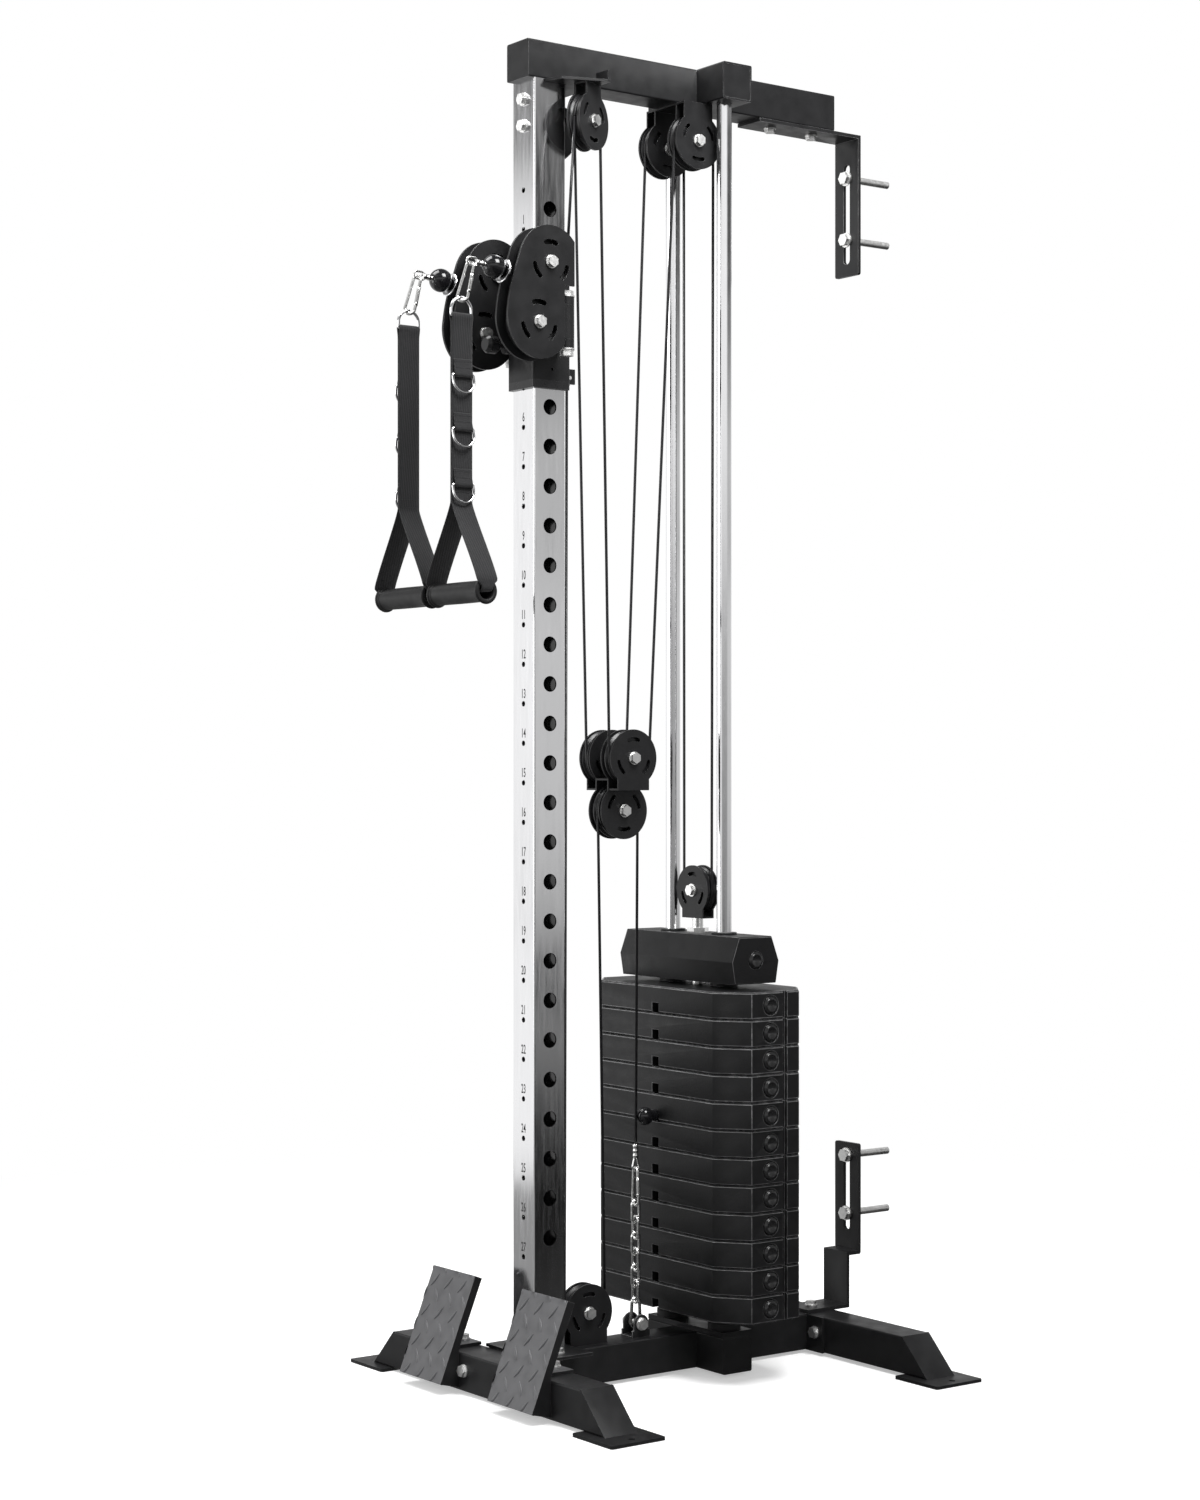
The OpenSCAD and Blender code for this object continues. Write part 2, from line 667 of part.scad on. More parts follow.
module stack_pulley_bolt() {
  color(steel) from_upright() translate([0, rod_y - 1 - bracket_in / 2 - cheek_t, stack_axle_z])
    rotate([90, 0, 0])
    hex_bolt(axle_d, bracket_in + 2 * cheek_t);
}

// Pulley of the machine's common size about X, or another size where one is given
module machine_sheave(x, y, z, rim = sheave_r, r = cable_r) {
  translate([x, y, z]) rotate([0, 90, 0]) sheave(rim, r, sheave_w, axle_d / 2 + fit_gap);
}

module stack_sheave() {
  color(black) from_upright() translate([0, rod_y - 1, stack_axle_z]) rotate([90, 0, 0])
    sheave(stack_sheave_r, stack_cable_r, sheave_w, axle_d / 2 + fit_gap);
}

module front_sheave(s) {
  translate([s * front_axle[0], front_axle[1], top_axle_z]) rotate([0, 0, s * front_turn])
    machine_sheave(0, 0, 0);
}
module front_sheave_left() {
  color(black) from_upright() front_sheave(-1);
}
module front_sheave_right() {
  color(black) from_upright() front_sheave(1);
}
module rear_sheave_left() {
  color(black) from_upright() machine_sheave(-rear_axle[0], rear_axle[1], top_axle_z);
}
module rear_sheave_right() {
  color(black) from_upright() machine_sheave(rear_axle[0], rear_axle[1], top_axle_z);
}

// Plate under the beam with an upstand at its rear, carrying the two turned brackets
module front_pulley_mount() {
  plate_z = beam_z - 4;
  reach = beam_z - 3 - top_axle_z;
  color(black) from_upright() {
    translate([0, 0, plate_z]) linear_extrude(3.7) for (s = [0, 1]) mirror([s, 0])
      polygon([[31, -12], [60, 2], [86, 70], [86, 78], [-1, 78], [-1, 31], [31, 31]]);
    for (s = [-1, 1]) {
      translate([s * 68 - 16, 74, plate_z]) cube([32, 4, 20]);
      translate([s * front_axle[0], front_axle[1], top_axle_z]) rotate([0, 0, s * front_turn])
        axis_x() pulley_bracket(cheek_r, 44, reach, bracket_in);
    }
  }
}

// Two brackets welded side by side under the beam
module rear_pulley_mount() {
  reach = beam_z - run_gap - top_axle_z;
  color(black) from_upright() {
    for (s = [-1, 1]) translate([s * rear_axle[0], rear_axle[1], top_axle_z]) axis_x()
      pulley_bracket(cheek_r, 58, reach, bracket_in);
    translate([-rear_axle[0], rear_axle[1] - 29, beam_z - run_gap - cheek_t])
      cube([2 * rear_axle[0], 58, cheek_t]);
  }
}

// Floating block: outer cheeks on one folded strip and two tall inner cheeks that carry the low pulley
module floating_block() {
  outer = block_x + bracket_in / 2;
  foot = 52;
  color(black) from_upright() {
    for (s = [0, 1]) mirror([s, 0, 0]) {
      translate([outer, block_y, block_z]) axis_x() mirror([0, 1, 0]) linear_extrude(cheek_t)
        cheek(cheek_r, 62, foot);
      translate([block_cheek_x, block_y - 31, block_z - foot]) cube([outer - block_cheek_x + 1, 62, cheek_t]);
      translate([block_cheek_x, block_y, block_z]) axis_x() mirror([0, 1, 0]) linear_extrude(cheek_t)
        cheek(cheek_r, 62, foot);
      translate([block_cheek_x, block_y, block_low_z]) axis_x() linear_extrude(cheek_t)
        cheek(cheek_r, 64, foot);
    }
    translate([-block_cheek_x - 1, block_y - 32, block_low_z + foot - cheek_t])
      cube([2 * block_cheek_x + 2, 64, cheek_t]);
  }
}

module block_bolts() {
  outer = block_x + bracket_in / 2 + cheek_t;
  color(steel) from_upright() {
    for (s = [-1, 1]) translate([s * outer, block_y, block_z]) rotate([0, s * 90, 0])
      hex_bolt(axle_d, outer - block_cheek_x - 6, nut = false);
    translate([block_cheek_x + cheek_t, block_y, block_low_z]) rotate([0, 90, 0])
      hex_bolt(axle_d, 2 * (block_cheek_x + cheek_t));
  }
}

module block_sheave_left() {
  color(black) from_upright() machine_sheave(-block_x, block_y, block_z);
}
module block_sheave_right() {
  color(black) from_upright() machine_sheave(block_x, block_y, block_z);
}
module block_sheave_low() {
  color(black) from_upright() machine_sheave(0, block_y, block_low_z);
}

module base_pulley_mount() {
  color(black) from_upright() translate([0, base_axle[0], base_axle[1]]) axis_x() mirror([0, 1, 0])
    pulley_bracket(cheek_r, 72, base_axle[1] - base_top, bracket_in);
}

module base_sheave() {
  color(black) from_upright() machine_sheave(0, base_axle[0], base_axle[1]);
}

// Clevis on the base that holds the end of the low cable
module anchor_bracket() {
  color(black) from_upright() difference() {
    union() {
      translate([-12 - cheek_t, anchor_y - 18, base_top]) cube([24 + 2 * cheek_t, 36, cheek_t]);
      for (s = [0, 1]) mirror([s, 0, 0]) translate([12, anchor_y, anchor_z]) axis_x()
        linear_extrude(cheek_t) {
        circle(15);
        translate([-18, base_top - anchor_z]) square([36, 12]);
        translate([-15, base_top - anchor_z]) square([30, anchor_z - base_top]);
      }
    }
    translate([-30, anchor_y, anchor_z]) rotate([0, 90, 0]) cylinder(h = 60, d = axle_d + 2 * bolt_gap);
  }
}

// Chain link in the XZ plane
module link(inner_len, inner_w, wire) {
  r = inner_w / 2 + wire / 2;
  half = inner_len / 2 - inner_w / 2;
  for (s = [0, 1]) mirror([0, 0, s]) translate([0, 0, half]) rotate([90, 0, 0])
    rotate_extrude(angle = 180, $fn = 24)
    translate([r, 0]) circle(d = wire, $fn = 14);
  for (x = [-r, r]) translate([x, 0, -half]) cylinder(h = 2 * half, d = wire, $fn = 14);
}

// Ferrule and eye, snap hook, six links and a bow shackle, each hanging just clear of the next
module anchor_chain() {
  color(steel) from_upright() translate([0, anchor_y, 0]) {
    translate([0, 0, anchor_z + 37.5 - shackle_len / 2]) rotate([0, 0, 90]) link(shackle_len, 13, 5.4);
    for (i = [0 : link_count - 1]) translate([0, 0, chain_z + (i + 0.5) * chain_pitch + run_gap / 2])
      rotate([0, 0, i % 2 == 0 ? 0 : 90]) link(chain_pitch + run_gap, 9, 5);
    translate([0, 0, chain_z + link_count * chain_pitch + hook_len / 2])
      link(hook_len, 12, 5);
    translate([0, 0, ferrule_z - 10.5]) rotate([0, 0, 90]) link(17, 9, 3.4);
    translate([0, 0, ferrule_z]) cylinder(h = ferrule_len, d = 2 * cable_d, $fn = 24);
  }
}

// Steel sleeve with hinge lugs, the lock pin's housing and the low cable's lug
module carriage_sleeve() {
  in = sleeve_w - 2 * sleeve_wall;
  color(black) from_upright() difference() {
    union() {
      translate([0, 0, sleeve_z]) linear_extrude(sleeve_h) round_square(sleeve_w, sleeve_w, 5);
      for (s = [-1, 1], z = [hinge_low_z - lug_t, hinge_high_z]) translate([0, 0, z]) linear_extrude(lug_t) {
        translate([s * hinge_x, 0]) circle(12);
        translate([s > 0 ? sleeve_w / 2 - 1 : -hinge_x, -12]) square([hinge_x - sleeve_w / 2 + 1, 24]);
      }
      translate([0, -sleeve_w / 2 + 1, lock_z]) rotate([90, 0, 0]) cylinder(h = 31, r = 12);
      for (s = [0, 1]) mirror([s, 0, 0]) translate([5, sleeve_w / 2 - 1, low_lug_z - 10])
        cube([4, low_lug_y - sleeve_w / 2 + 11, 24]);
    }
    translate([0, 0, sleeve_z - 1]) linear_extrude(sleeve_h + 2) round_square(in, in, 3);
    translate([0, -sleeve_w / 2 + 5, lock_z]) rotate([90, 0, 0])
      cylinder(h = 50, d = lock_pin_d + 2 * fit_gap);
    for (s = [-1, 1]) {
      translate([s * hinge_x, 0, hinge_low_z - lug_t - 1])
        cylinder(h = hinge_high_z - hinge_low_z + 2 * lug_t + 2, d = hinge_d + 2 * fit_gap);
      translate([s * sleeve_w / 2 - 5, 0, sleeve_z + 18]) rotate([0, 90, 0]) cylinder(h = 10, d = 5);
    }
    translate([-20, low_lug_y, low_lug_z]) rotate([0, 90, 0]) cylinder(h = 40, d = 6.4);
  }
}

// Plastic liners pressed into both ends of the sleeve, each with a rim
module carriage_liners() {
  in = sleeve_w - 2 * sleeve_wall - 0.2;
  depth = 40;
  color(rubber) from_upright() difference() {
    union() for (s = [0, 1]) {
      rim = s == 0 ? sleeve_z - rim_h : sleeve_z + sleeve_h;
      body = s == 0 ? sleeve_z - 1 : sleeve_z + sleeve_h - depth;
      translate([0, 0, rim]) linear_extrude(rim_h) round_square(sleeve_w, sleeve_w, 5);
      translate([0, 0, body]) linear_extrude(depth + 1) round_square(in, in, 3);
    }
    translate([0, 0, sleeve_z - rim_h - 1]) linear_extrude(sleeve_h + 2 * rim_h + 2)
      round_square(tube_w + 2 * liner_gap, tube_w + 2 * liner_gap, tube_r);
    translate([0, 0, lock_z]) rotate([90, 0, 0]) cylinder(h = 60, d = lock_hole_d + 2);
  }
}

module hinge_bolts() {
  color(steel) from_upright() {
    for (s = [-1, 1]) translate([s * hinge_x, 0, hinge_high_z + lug_t])
      hex_bolt(hinge_d, hinge_high_z - hinge_low_z + 2 * lug_t);
    translate([-9.5, low_lug_y, low_lug_z]) rotate([0, 90, 0]) cylinder(h = 19, d = 6);
  }
}

// Sprung lock pin, drawn parked with its tip just short of the upright
module lock_pin() {
  tip = -tube_w / 2 - 0.8;
  knob = -sleeve_w / 2 - 30 - pin_travel - 0.6;
  color(black) from_upright() translate([0, 0, lock_z]) rotate([90, 0, 0]) {
    translate([0, 0, -tip]) cylinder(h = tip - knob + 4, d = lock_pin_d);
    translate([0, 0, -knob]) cylinder(h = 6, r1 = 9, r2 = 14);
    translate([0, 0, 6 - knob]) cylinder(h = 14, r = 14);
    translate([0, 0, 20 - knob]) cylinder(h = 5, r1 = 14, r2 = 10);
  }
}

// Outline of a swivel cheek in Y and Z: two discs joined by their tangents and trimmed beside the hinge
module swivel_outline() {
  a = [upper_sheave_y, upper_sheave_z];
  b = [lower_sheave_y, lower_sheave_z];
  across = swivel_cheek_r * [b[1] - a[1], a[0] - b[0]] / norm(b - a);
  difference() {
    union() {
      translate(a) circle(swivel_cheek_r, $fn = 72);
      translate(b) circle(swivel_cheek_r, $fn = 72);
      polygon([a + across, a - across, b - across, b + across]);
    }
    translate([3, lock_z - 100]) square([80, 400]);
    translate([-16, hinge_low_z - lug_t - 30]) square([80, hinge_high_z - hinge_low_z + 2 * lug_t + 45]);
    for (c = [a, b]) translate(c) {
      circle(axle_d / 2 + bolt_gap);
      for (t = [90, 210, 330]) arc_slot(31, 8, 19, t);
    }
  }
}

// Cable angle where it leaves the upper swivel pulley for the ball
exit_angle = atan2(ball_z - upper_sheave_z, ball_y - upper_sheave_y)
  + acos(swivel_cable_r / norm([ball_y - upper_sheave_y, ball_z - upper_sheave_z]));
exit_point = [upper_sheave_y, upper_sheave_z] + swivel_cable_r * [cos(exit_angle), sin(exit_angle)];

// Two cheeks welded to a hinge barrel, with the cable where it turns round the upper pulley
module swivel(s) {
  barrel_h = hinge_high_z - hinge_low_z - 2 * run_gap;
  color(black) from_upright() translate([s * hinge_x, 0, 0]) {
    difference() {
      union() {
        for (m = [0, 1]) mirror([m, 0, 0]) translate([cheek_gap, 0, 0]) axis_x() linear_extrude(4)
          swivel_outline();
        translate([-cheek_gap - 2, -24, hinge_low_z + run_gap]) cube([2 * cheek_gap + 4, 14, barrel_h]);
        translate([0, 0, hinge_low_z + run_gap]) cylinder(h = barrel_h, d = barrel_d);
      }
      translate([0, 0, hinge_low_z - 1]) cylinder(h = barrel_h + 3, d = hinge_d + 2 * fit_gap);
      translate([0, lower_sheave_y, lower_sheave_z]) rotate([0, 90, 0])
        cylinder(h = 2 * cheek_gap - 1, r = swivel_sheave_r + 1.5, center = true);
    }
    translate([0, upper_sheave_y, upper_sheave_z]) axis_x() arc_rod(swivel_cable_r, cable_d, exit_angle, 0);
  }
}
module swivel_left() {
  swivel(-1);
}
module swivel_right() {
  swivel(1);
}

// Bolt and spacers of each swivel pulley
module swivel_bolts(s) {
  outer = cheek_gap + 4;
  color(steel) from_upright() translate([s * hinge_x, 0, 0])
    for (c = [[upper_sheave_y, upper_sheave_z], [lower_sheave_y, lower_sheave_z]])
      translate([s * outer, c[0], c[1]]) rotate([0, s * 90, 0]) hex_bolt(axle_d, 2 * outer);
}
module swivel_bolts_left() {
  swivel_bolts(-1);
}
module swivel_bolts_right() {
  swivel_bolts(1);
}

module upper_swivel_sheave_left() {
  color(black) from_upright()
    machine_sheave(-hinge_x, upper_sheave_y, upper_sheave_z, swivel_sheave_r, swivel_cable_r);
}
module upper_swivel_sheave_right() {
  color(black) from_upright()
    machine_sheave(hinge_x, upper_sheave_y, upper_sheave_z, swivel_sheave_r, swivel_cable_r);
}
module lower_swivel_sheave_left() {
  color(black) from_upright()
    machine_sheave(-hinge_x, lower_sheave_y, lower_sheave_z, swivel_sheave_r, swivel_cable_r);
}
module lower_swivel_sheave_right() {
  color(black) from_upright()
    machine_sheave(hinge_x, lower_sheave_y, lower_sheave_z, swivel_sheave_r, swivel_cable_r);
}

// Cable end, stopper ball with its washer, eye and snap hook
module handle_link(s) {
  pull = [ball_y, ball_z] - exit_point;
  rise = atan2(pull[1], -pull[0]);
  hook = [eye_y - 2.5, eye_z - 1.7] - [ring_y, ring_z];
  color(steel) from_upright() translate([s * hinge_x, 0, 0]) {
    rod_between([0, exit_point[0] - 0.3, exit_point[1] + 0.1], [0, ball_y, ball_z], cable_d);
    translate([0, ball_y, ball_z]) sphere(d = ball_d, $fn = 48);
    translate([0, ball_y, ball_z]) rotate([-90 + rise, 0, 0]) translate([0, 0, ball_d / 2 - 2])
      cylinder(h = 3, r = 19);
    rod_between([0, ball_y, ball_z], [0, eye_y + 7, eye_z], 2 * cable_d);
    translate([0, eye_y, eye_z]) rotate([90, 0, 0]) rotate([0, 0, 90]) link(13, 9, 3.4);
    translate([0, ring_y + hook[0] / 2, ring_z + hook[1] / 2]) rotate([-atan2(hook[0], hook[1]), 0, 0])
      link(norm(hook) - 5, 11, 5);
  }
}
module handle_link_left() {
  handle_link(-1);
}
module handle_link_right() {
  handle_link(1);
}

// D-ring in Y and Z: the middle of its straight bar is at the origin and its bow points up
module d_ring(width, wire) {
  r = (width - wire) / 2;
  translate([0, 0, 9.3]) axis_x() arc_rod(r, wire, 0, 180);
  for (s = [-1, 1]) translate([0, s * r, 0]) {
    cylinder(h = 9.3, d = wire, $fn = 16);
    sphere(d = wire, $fn = 16);
  }
  translate([0, r, 0]) rotate([90, 0, 0]) cylinder(h = 2 * r, d = wire, $fn = 16);
}

// Webbing: a double strap that forks into two legs, joined through the grip, with its D-rings
leg_t = 3;
module handle_strap(s) {
  bar_z = ring_z - bar_drop;
  leg_x = grip_len / 2 + run_gap;
  knee_z = grip_z + flange_d / 2 + 1;
  color(rubber) from_upright() translate([s * hinge_x, ring_y, 0]) {
    difference() {
      union() {
        translate([-strap_t, -strap_w / 2, strap_fork]) cube([2 * strap_t, strap_w, bar_z - strap_fork]);
        translate([0, strap_w / 2, bar_z]) rotate([90, 0, 0]) cylinder(h = strap_w, r = 2.6 + strap_t);
        for (m = [0, 1]) mirror([m, 0, 0]) translate([0, strap_w / 2, 0]) rotate([90, 0, 0])
          linear_extrude(strap_w)
          polygon([[-0.5, strap_fork + 2], [strap_t, strap_fork + 2], [leg_x + leg_t, knee_z + 1],
            [leg_x + leg_t, grip_z - 8],
            [leg_x, grip_z - 8], [leg_x, knee_z], [-0.5, strap_fork - 3]]);
        translate([-leg_x - 1, -9, grip_z - 1.5]) cube([2 * leg_x + 2, 18, 3]);
      }
      translate([0, strap_w / 2 + 1, bar_z]) rotate([90, 0, 0]) cylinder(h = strap_w + 2, r = 2.6);
    }
    translate([0, 0, bar_z]) d_ring(ring_w, 5);
    for (drop = [90, 172, 257]) translate([s * (strap_t + 2.4), 0, bar_z - drop]) rotate([0, s * 170, 0])
      d_ring(ring_w, 4);
  }
}
module handle_strap_left() {
  handle_strap(-1);
}
module handle_strap_right() {
  handle_strap(1);
}

module handle_grip(s) {
  color(rubber) from_upright() translate([s * hinge_x - grip_len / 2, ring_y, grip_z]) rotate([0, 90, 0])
    difference() {
    union() {
      cylinder(h = grip_len, d = grip_d);
      for (x = [0, grip_len - 6]) translate([0, 0, x]) cylinder(h = 6, d = flange_d);
    }
    translate([0, 0, -1]) cylinder(h = grip_len + 2, d = grip_d - 2 * grip_wall);
  }
}
module handle_grip_left() {
  handle_grip(-1);
}
module handle_grip_right() {
  handle_grip(1);
}

// Where the cable touches a front pulley, on its front or its rear side
function front_touch(side) = [front_axle[0] - side * cable_r * sin(front_turn),
  front_axle[1] + side * cable_r * cos(front_turn), top_axle_z];

// Draws the cable on the right and its mirror image on the left
module both_sides() {
  for (m = [0, 1]) mirror([m, 0, 0]) children();
}

// Straight cable run from a low point to a high one, each end drawn on by its own length
module cable_run(low, high, on_low = 1, on_high = 1) {
  way = (high - low) / norm(high - low);
  rod_between(low - on_low * way, high + on_high * way, cable_d - 0.1);
}

// Down the swivel hinges from the front pulleys
module hinge_cables() {
  color(rubber) from_upright() both_sides()
    cable_run([hinge_x, 0, upper_sheave_z], front_touch(-1), -run_gap, -run_gap);
}

// Over the front pulleys, down and under the floating block, and up over the rear pulleys
module block_cables() {
  color(rubber) from_upright() both_sides() {
    translate([front_axle[0], front_axle[1], top_axle_z]) rotate([0, 0, front_turn]) axis_x()
      arc_rod(cable_r, cable_d, 0, 180);
    cable_run([block_x, block_y - cable_r, block_z], front_touch(1), -run_gap, -run_gap);
    translate([block_x, block_y, block_z]) axis_x() arc_rod(cable_r, cable_d, 180, 360);
    cable_run([block_x, block_y + cable_r, block_z], [rear_axle[0], rear_axle[1] - cable_r, top_axle_z],
      -run_gap, -run_gap);
    translate([rear_axle[0], rear_axle[1], top_axle_z]) axis_x() arc_rod(cable_r, cable_d, 0, 180);
  }
}

// Down from the rear pulleys and round under the stack's pulley
module stack_cables() {
  color(rubber) from_upright() {
    both_sides() cable_run([stack_cable_r, rod_y - 1, stack_axle_z],
      [rear_axle[0], rear_axle[1] + cable_r, top_axle_z], -run_gap, -run_gap);
    translate([0, rod_y - 1, stack_axle_z]) rotate([90, 0, 0]) arc_rod(stack_cable_r, cable_d, 180, 360);
  }
}

// From the carriage down behind the upright and round under the base pulley
module carriage_cable() {
  color(rubber) from_upright() {
    cable_run([0, base_axle[0] - cable_r, base_axle[1]], [0, low_lug_y, low_lug_z - 3], 1, -run_gap);
    translate([0, base_axle[0], base_axle[1]]) axis_x() arc_rod(cable_r, cable_d, 180, 360);
  }
}

// From the base pulley up over the block's low pulley and down to the ferrule
module low_block_cable() {
  color(rubber) from_upright() {
    cable_run([0, base_axle[0] + cable_r, base_axle[1]], [0, block_y - cable_r, block_low_z], -run_gap, 1);
    translate([0, block_y, block_low_z]) axis_x() arc_rod(cable_r, cable_d, 0, 180);
    cable_run([0, anchor_y, ferrule_z + ferrule_len], [0, block_y + cable_r, block_low_z], -0.1, 1);
  }
}

upright();
upright_base_plate();
top_beam();
base_spine();
front_foot_beam();
rear_foot_beam();
foot_plates();
wall_bracket_top();
wall_bracket_bottom();
wall_anchor_bolts();
frame_bolts();
guide_rods();
stack_bumpers();
picked_plates();
resting_plates();
head_plate();
selector_stem();
selector_pin();
stack_pulley_bracket();
stack_pulley_bolt();
stack_sheave();
front_pulley_mount();
front_sheave_left();
front_sheave_right();
rear_pulley_mount();
rear_sheave_left();
rear_sheave_right();
floating_block();
block_bolts();
block_sheave_left();
block_sheave_right();
block_sheave_low();
base_pulley_mount();
base_sheave();
anchor_bracket();
anchor_chain();
carriage_sleeve();
carriage_liners();
hinge_bolts();
lock_pin();
swivel_left();
swivel_right();
swivel_bolts_left();
swivel_bolts_right();
upper_swivel_sheave_left();
upper_swivel_sheave_right();
lower_swivel_sheave_left();
lower_swivel_sheave_right();
handle_link_left();
handle_link_right();
handle_strap_left();
handle_strap_right();
handle_grip_left();
handle_grip_right();
hinge_cables();
block_cables();
stack_cables();
carriage_cable();
low_block_cable();
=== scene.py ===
# %% [markdown]
# # A wall-mounted cable machine
#
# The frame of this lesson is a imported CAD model: every steel part already has its true size and place.
# Blender adds what a CAD model leaves plain: finishes, woven straps, cables, chain, snap hooks,
# raised tread and the hole numbers. Lengths are in metres, +X is the user's right, +Y is the wall side
# and +Z is up.

import json
import math

import bmesh
import bpy
import numpy as np
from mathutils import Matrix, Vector

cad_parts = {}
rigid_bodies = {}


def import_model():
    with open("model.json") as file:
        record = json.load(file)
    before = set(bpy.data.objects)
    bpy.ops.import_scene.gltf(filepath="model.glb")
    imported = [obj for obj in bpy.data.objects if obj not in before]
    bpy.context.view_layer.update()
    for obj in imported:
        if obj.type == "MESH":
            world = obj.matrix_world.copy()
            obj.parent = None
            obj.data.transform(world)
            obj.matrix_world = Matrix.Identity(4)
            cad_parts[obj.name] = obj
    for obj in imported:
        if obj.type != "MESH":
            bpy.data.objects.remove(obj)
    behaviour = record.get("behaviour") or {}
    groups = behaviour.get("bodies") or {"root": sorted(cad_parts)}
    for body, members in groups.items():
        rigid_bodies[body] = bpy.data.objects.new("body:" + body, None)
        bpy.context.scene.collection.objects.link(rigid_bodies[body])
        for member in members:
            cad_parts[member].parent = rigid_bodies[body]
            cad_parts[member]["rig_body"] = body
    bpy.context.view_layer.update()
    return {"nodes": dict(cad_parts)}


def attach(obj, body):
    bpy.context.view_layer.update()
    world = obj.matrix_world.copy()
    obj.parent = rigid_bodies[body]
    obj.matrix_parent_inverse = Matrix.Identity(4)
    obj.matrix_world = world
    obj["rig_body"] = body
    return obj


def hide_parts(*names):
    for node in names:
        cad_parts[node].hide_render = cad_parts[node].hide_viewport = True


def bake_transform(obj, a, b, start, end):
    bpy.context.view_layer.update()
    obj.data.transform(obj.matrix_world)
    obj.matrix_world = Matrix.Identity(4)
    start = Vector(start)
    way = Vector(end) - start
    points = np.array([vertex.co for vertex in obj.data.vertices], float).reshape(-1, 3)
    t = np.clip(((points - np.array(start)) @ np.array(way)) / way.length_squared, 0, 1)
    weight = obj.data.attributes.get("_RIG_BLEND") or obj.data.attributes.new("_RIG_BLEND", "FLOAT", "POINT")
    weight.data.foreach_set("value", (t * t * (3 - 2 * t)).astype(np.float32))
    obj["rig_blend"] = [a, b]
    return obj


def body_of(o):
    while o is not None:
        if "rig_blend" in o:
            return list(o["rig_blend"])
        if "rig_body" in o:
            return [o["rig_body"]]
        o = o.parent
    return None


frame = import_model()
nodes = frame["nodes"]
print("CAD nodes:", len(nodes))

# %% [markdown]
# ## The camera
# The photograph is a long-lens view from the user's right and a little below half the machine's height.
# The camera is level, so the uprights stay vertical; a small upward shift, and no tilt, frames the machine.

# %% Camera
SHIFT_Y = 0.2621  # how far the row frame's origin lies behind the upright's centre line
PICTURE_H, FOCAL, HORIZON = 1500, 2747.78, 763.64  # in pixels
SENSOR_H = 36  # in millimetres


def added(name, data):
    """New object with the given data, linked to the scene."""
    made = bpy.data.objects.new(name, data)
    bpy.context.collection.objects.link(made)
    return made


camera = added("camera", bpy.data.cameras.new("camera"))
camera.location = (3.56823, -2.50308 - SHIFT_Y, 0.99596)
camera.rotation_euler = (math.radians(90), 0, math.radians(53.68))
camera.data.sensor_fit = "VERTICAL"
camera.data.sensor_height = SENSOR_H
camera.data.lens = SENSOR_H * FOCAL / PICTURE_H
camera.data.shift_y = (HORIZON - PICTURE_H / 2) / PICTURE_H
camera.data.clip_end = 60
bpy.context.scene.camera = camera
print("lens:", round(camera.data.lens, 1), "mm")

# %% [markdown]
# ## Light
# Black steel shows its shape by what it mirrors, so the light is a few large soft panels rather than
# small lamps: one from the front left, one over the right side and one overhead.

# %% Lamps
scene = bpy.context.scene
scene.view_settings.view_transform = "Standard"


def soft_panel(name, place, aim, size, power):
    """Area lamp at place, turned to face aim: its -Z axis is laid along the line between them."""
    lamp = added(name, bpy.data.lights.new(name, "AREA"))
    lamp.data.shape = "RECTANGLE"
    lamp.data.size, lamp.data.size_y = size
    lamp.data.energy = power
    lamp.location = place
    lamp.rotation_euler = (Vector(aim) - Vector(place)).to_track_quat("-Z", "Y").to_euler()
    print(name, "of", power, "W at", place)


# Name, place, aim, size and power
soft_panel("key_panel", (-1.7, -4.1, 1.7), (0, -0.2, 0.7), (2.6, 2.6), 70)
soft_panel("side_panel", (1.7, -0.1, 3.5), (0, 0.0, 1.7), (1.3, 1.3), 105)
soft_panel("top_panel", (-1.1, -1.5, 4.4), (0, 0, 0.8), (2.0, 2.0), 100)

# %% [markdown]
# ## World
# The world gives an even fill, and the camera sees it plain white. Polished metal sees a room instead: bands
# of white wall between a grey ceiling and floor, which draw the broad light and dark bands along the
# upright. The bands differ with the direction, as the walls of a room do.

# %% Helpers for node trees
WHITE = (1, 1, 1, 1)


def new_nodes(tree, keep=False):
    """Empties a node tree, unless keep is true, and returns two helpers. add makes a node: a keyword sets the
    socket of that name or else the node's own setting, and sockets sets those known by a number or by a name
    with a space. link joins an output of one node to an input of another."""
    if not keep:
        tree.nodes.clear()

    def add(kind, sockets=None, **values):
        node = tree.nodes.new(kind)
        for key, value in values.items():
            if key in node.inputs:
                node.inputs[key].default_value = value
            else:
                setattr(node, key, value)
        for key, value in (sockets or {}).items():
            node.inputs[key].default_value = value
        return node

    def link(a, out, b, into):
        tree.links.new(a.outputs[out], b.inputs[into])

    return add, link


def mixed(add, link, node, output, a, b):
    """Mix shader: a where the node's output is 0, b where it is 1."""
    mix = add("ShaderNodeMixShader")
    link(node, output, mix, "Fac")
    link(a, 0, mix, 1)
    link(b, 0, mix, 2)
    return mix


def share_along(add, link, where, output, direction, start, full):
    """Map range from 0 to 1 while the dot product of a vector with a direction goes from start to full."""
    along = add("ShaderNodeVectorMath", {1: direction}, operation="DOT_PRODUCT")
    link(where, output, along, 0)
    share = add("ShaderNodeMapRange", {"From Min": start, "From Max": full})
    link(along, "Value", share, "Value")
    return share


def ramp(node, stops):
    """Fills a colour ramp with (place, grey) pairs."""
    marks = node.color_ramp.elements
    while len(marks) > 1:
        marks.remove(marks[0])
    for i, (place, grey) in enumerate(stops):
        stop = marks[0] if i == 0 else marks.new(place)
        stop.position = place
        stop.color = (grey, grey, grey, 1)


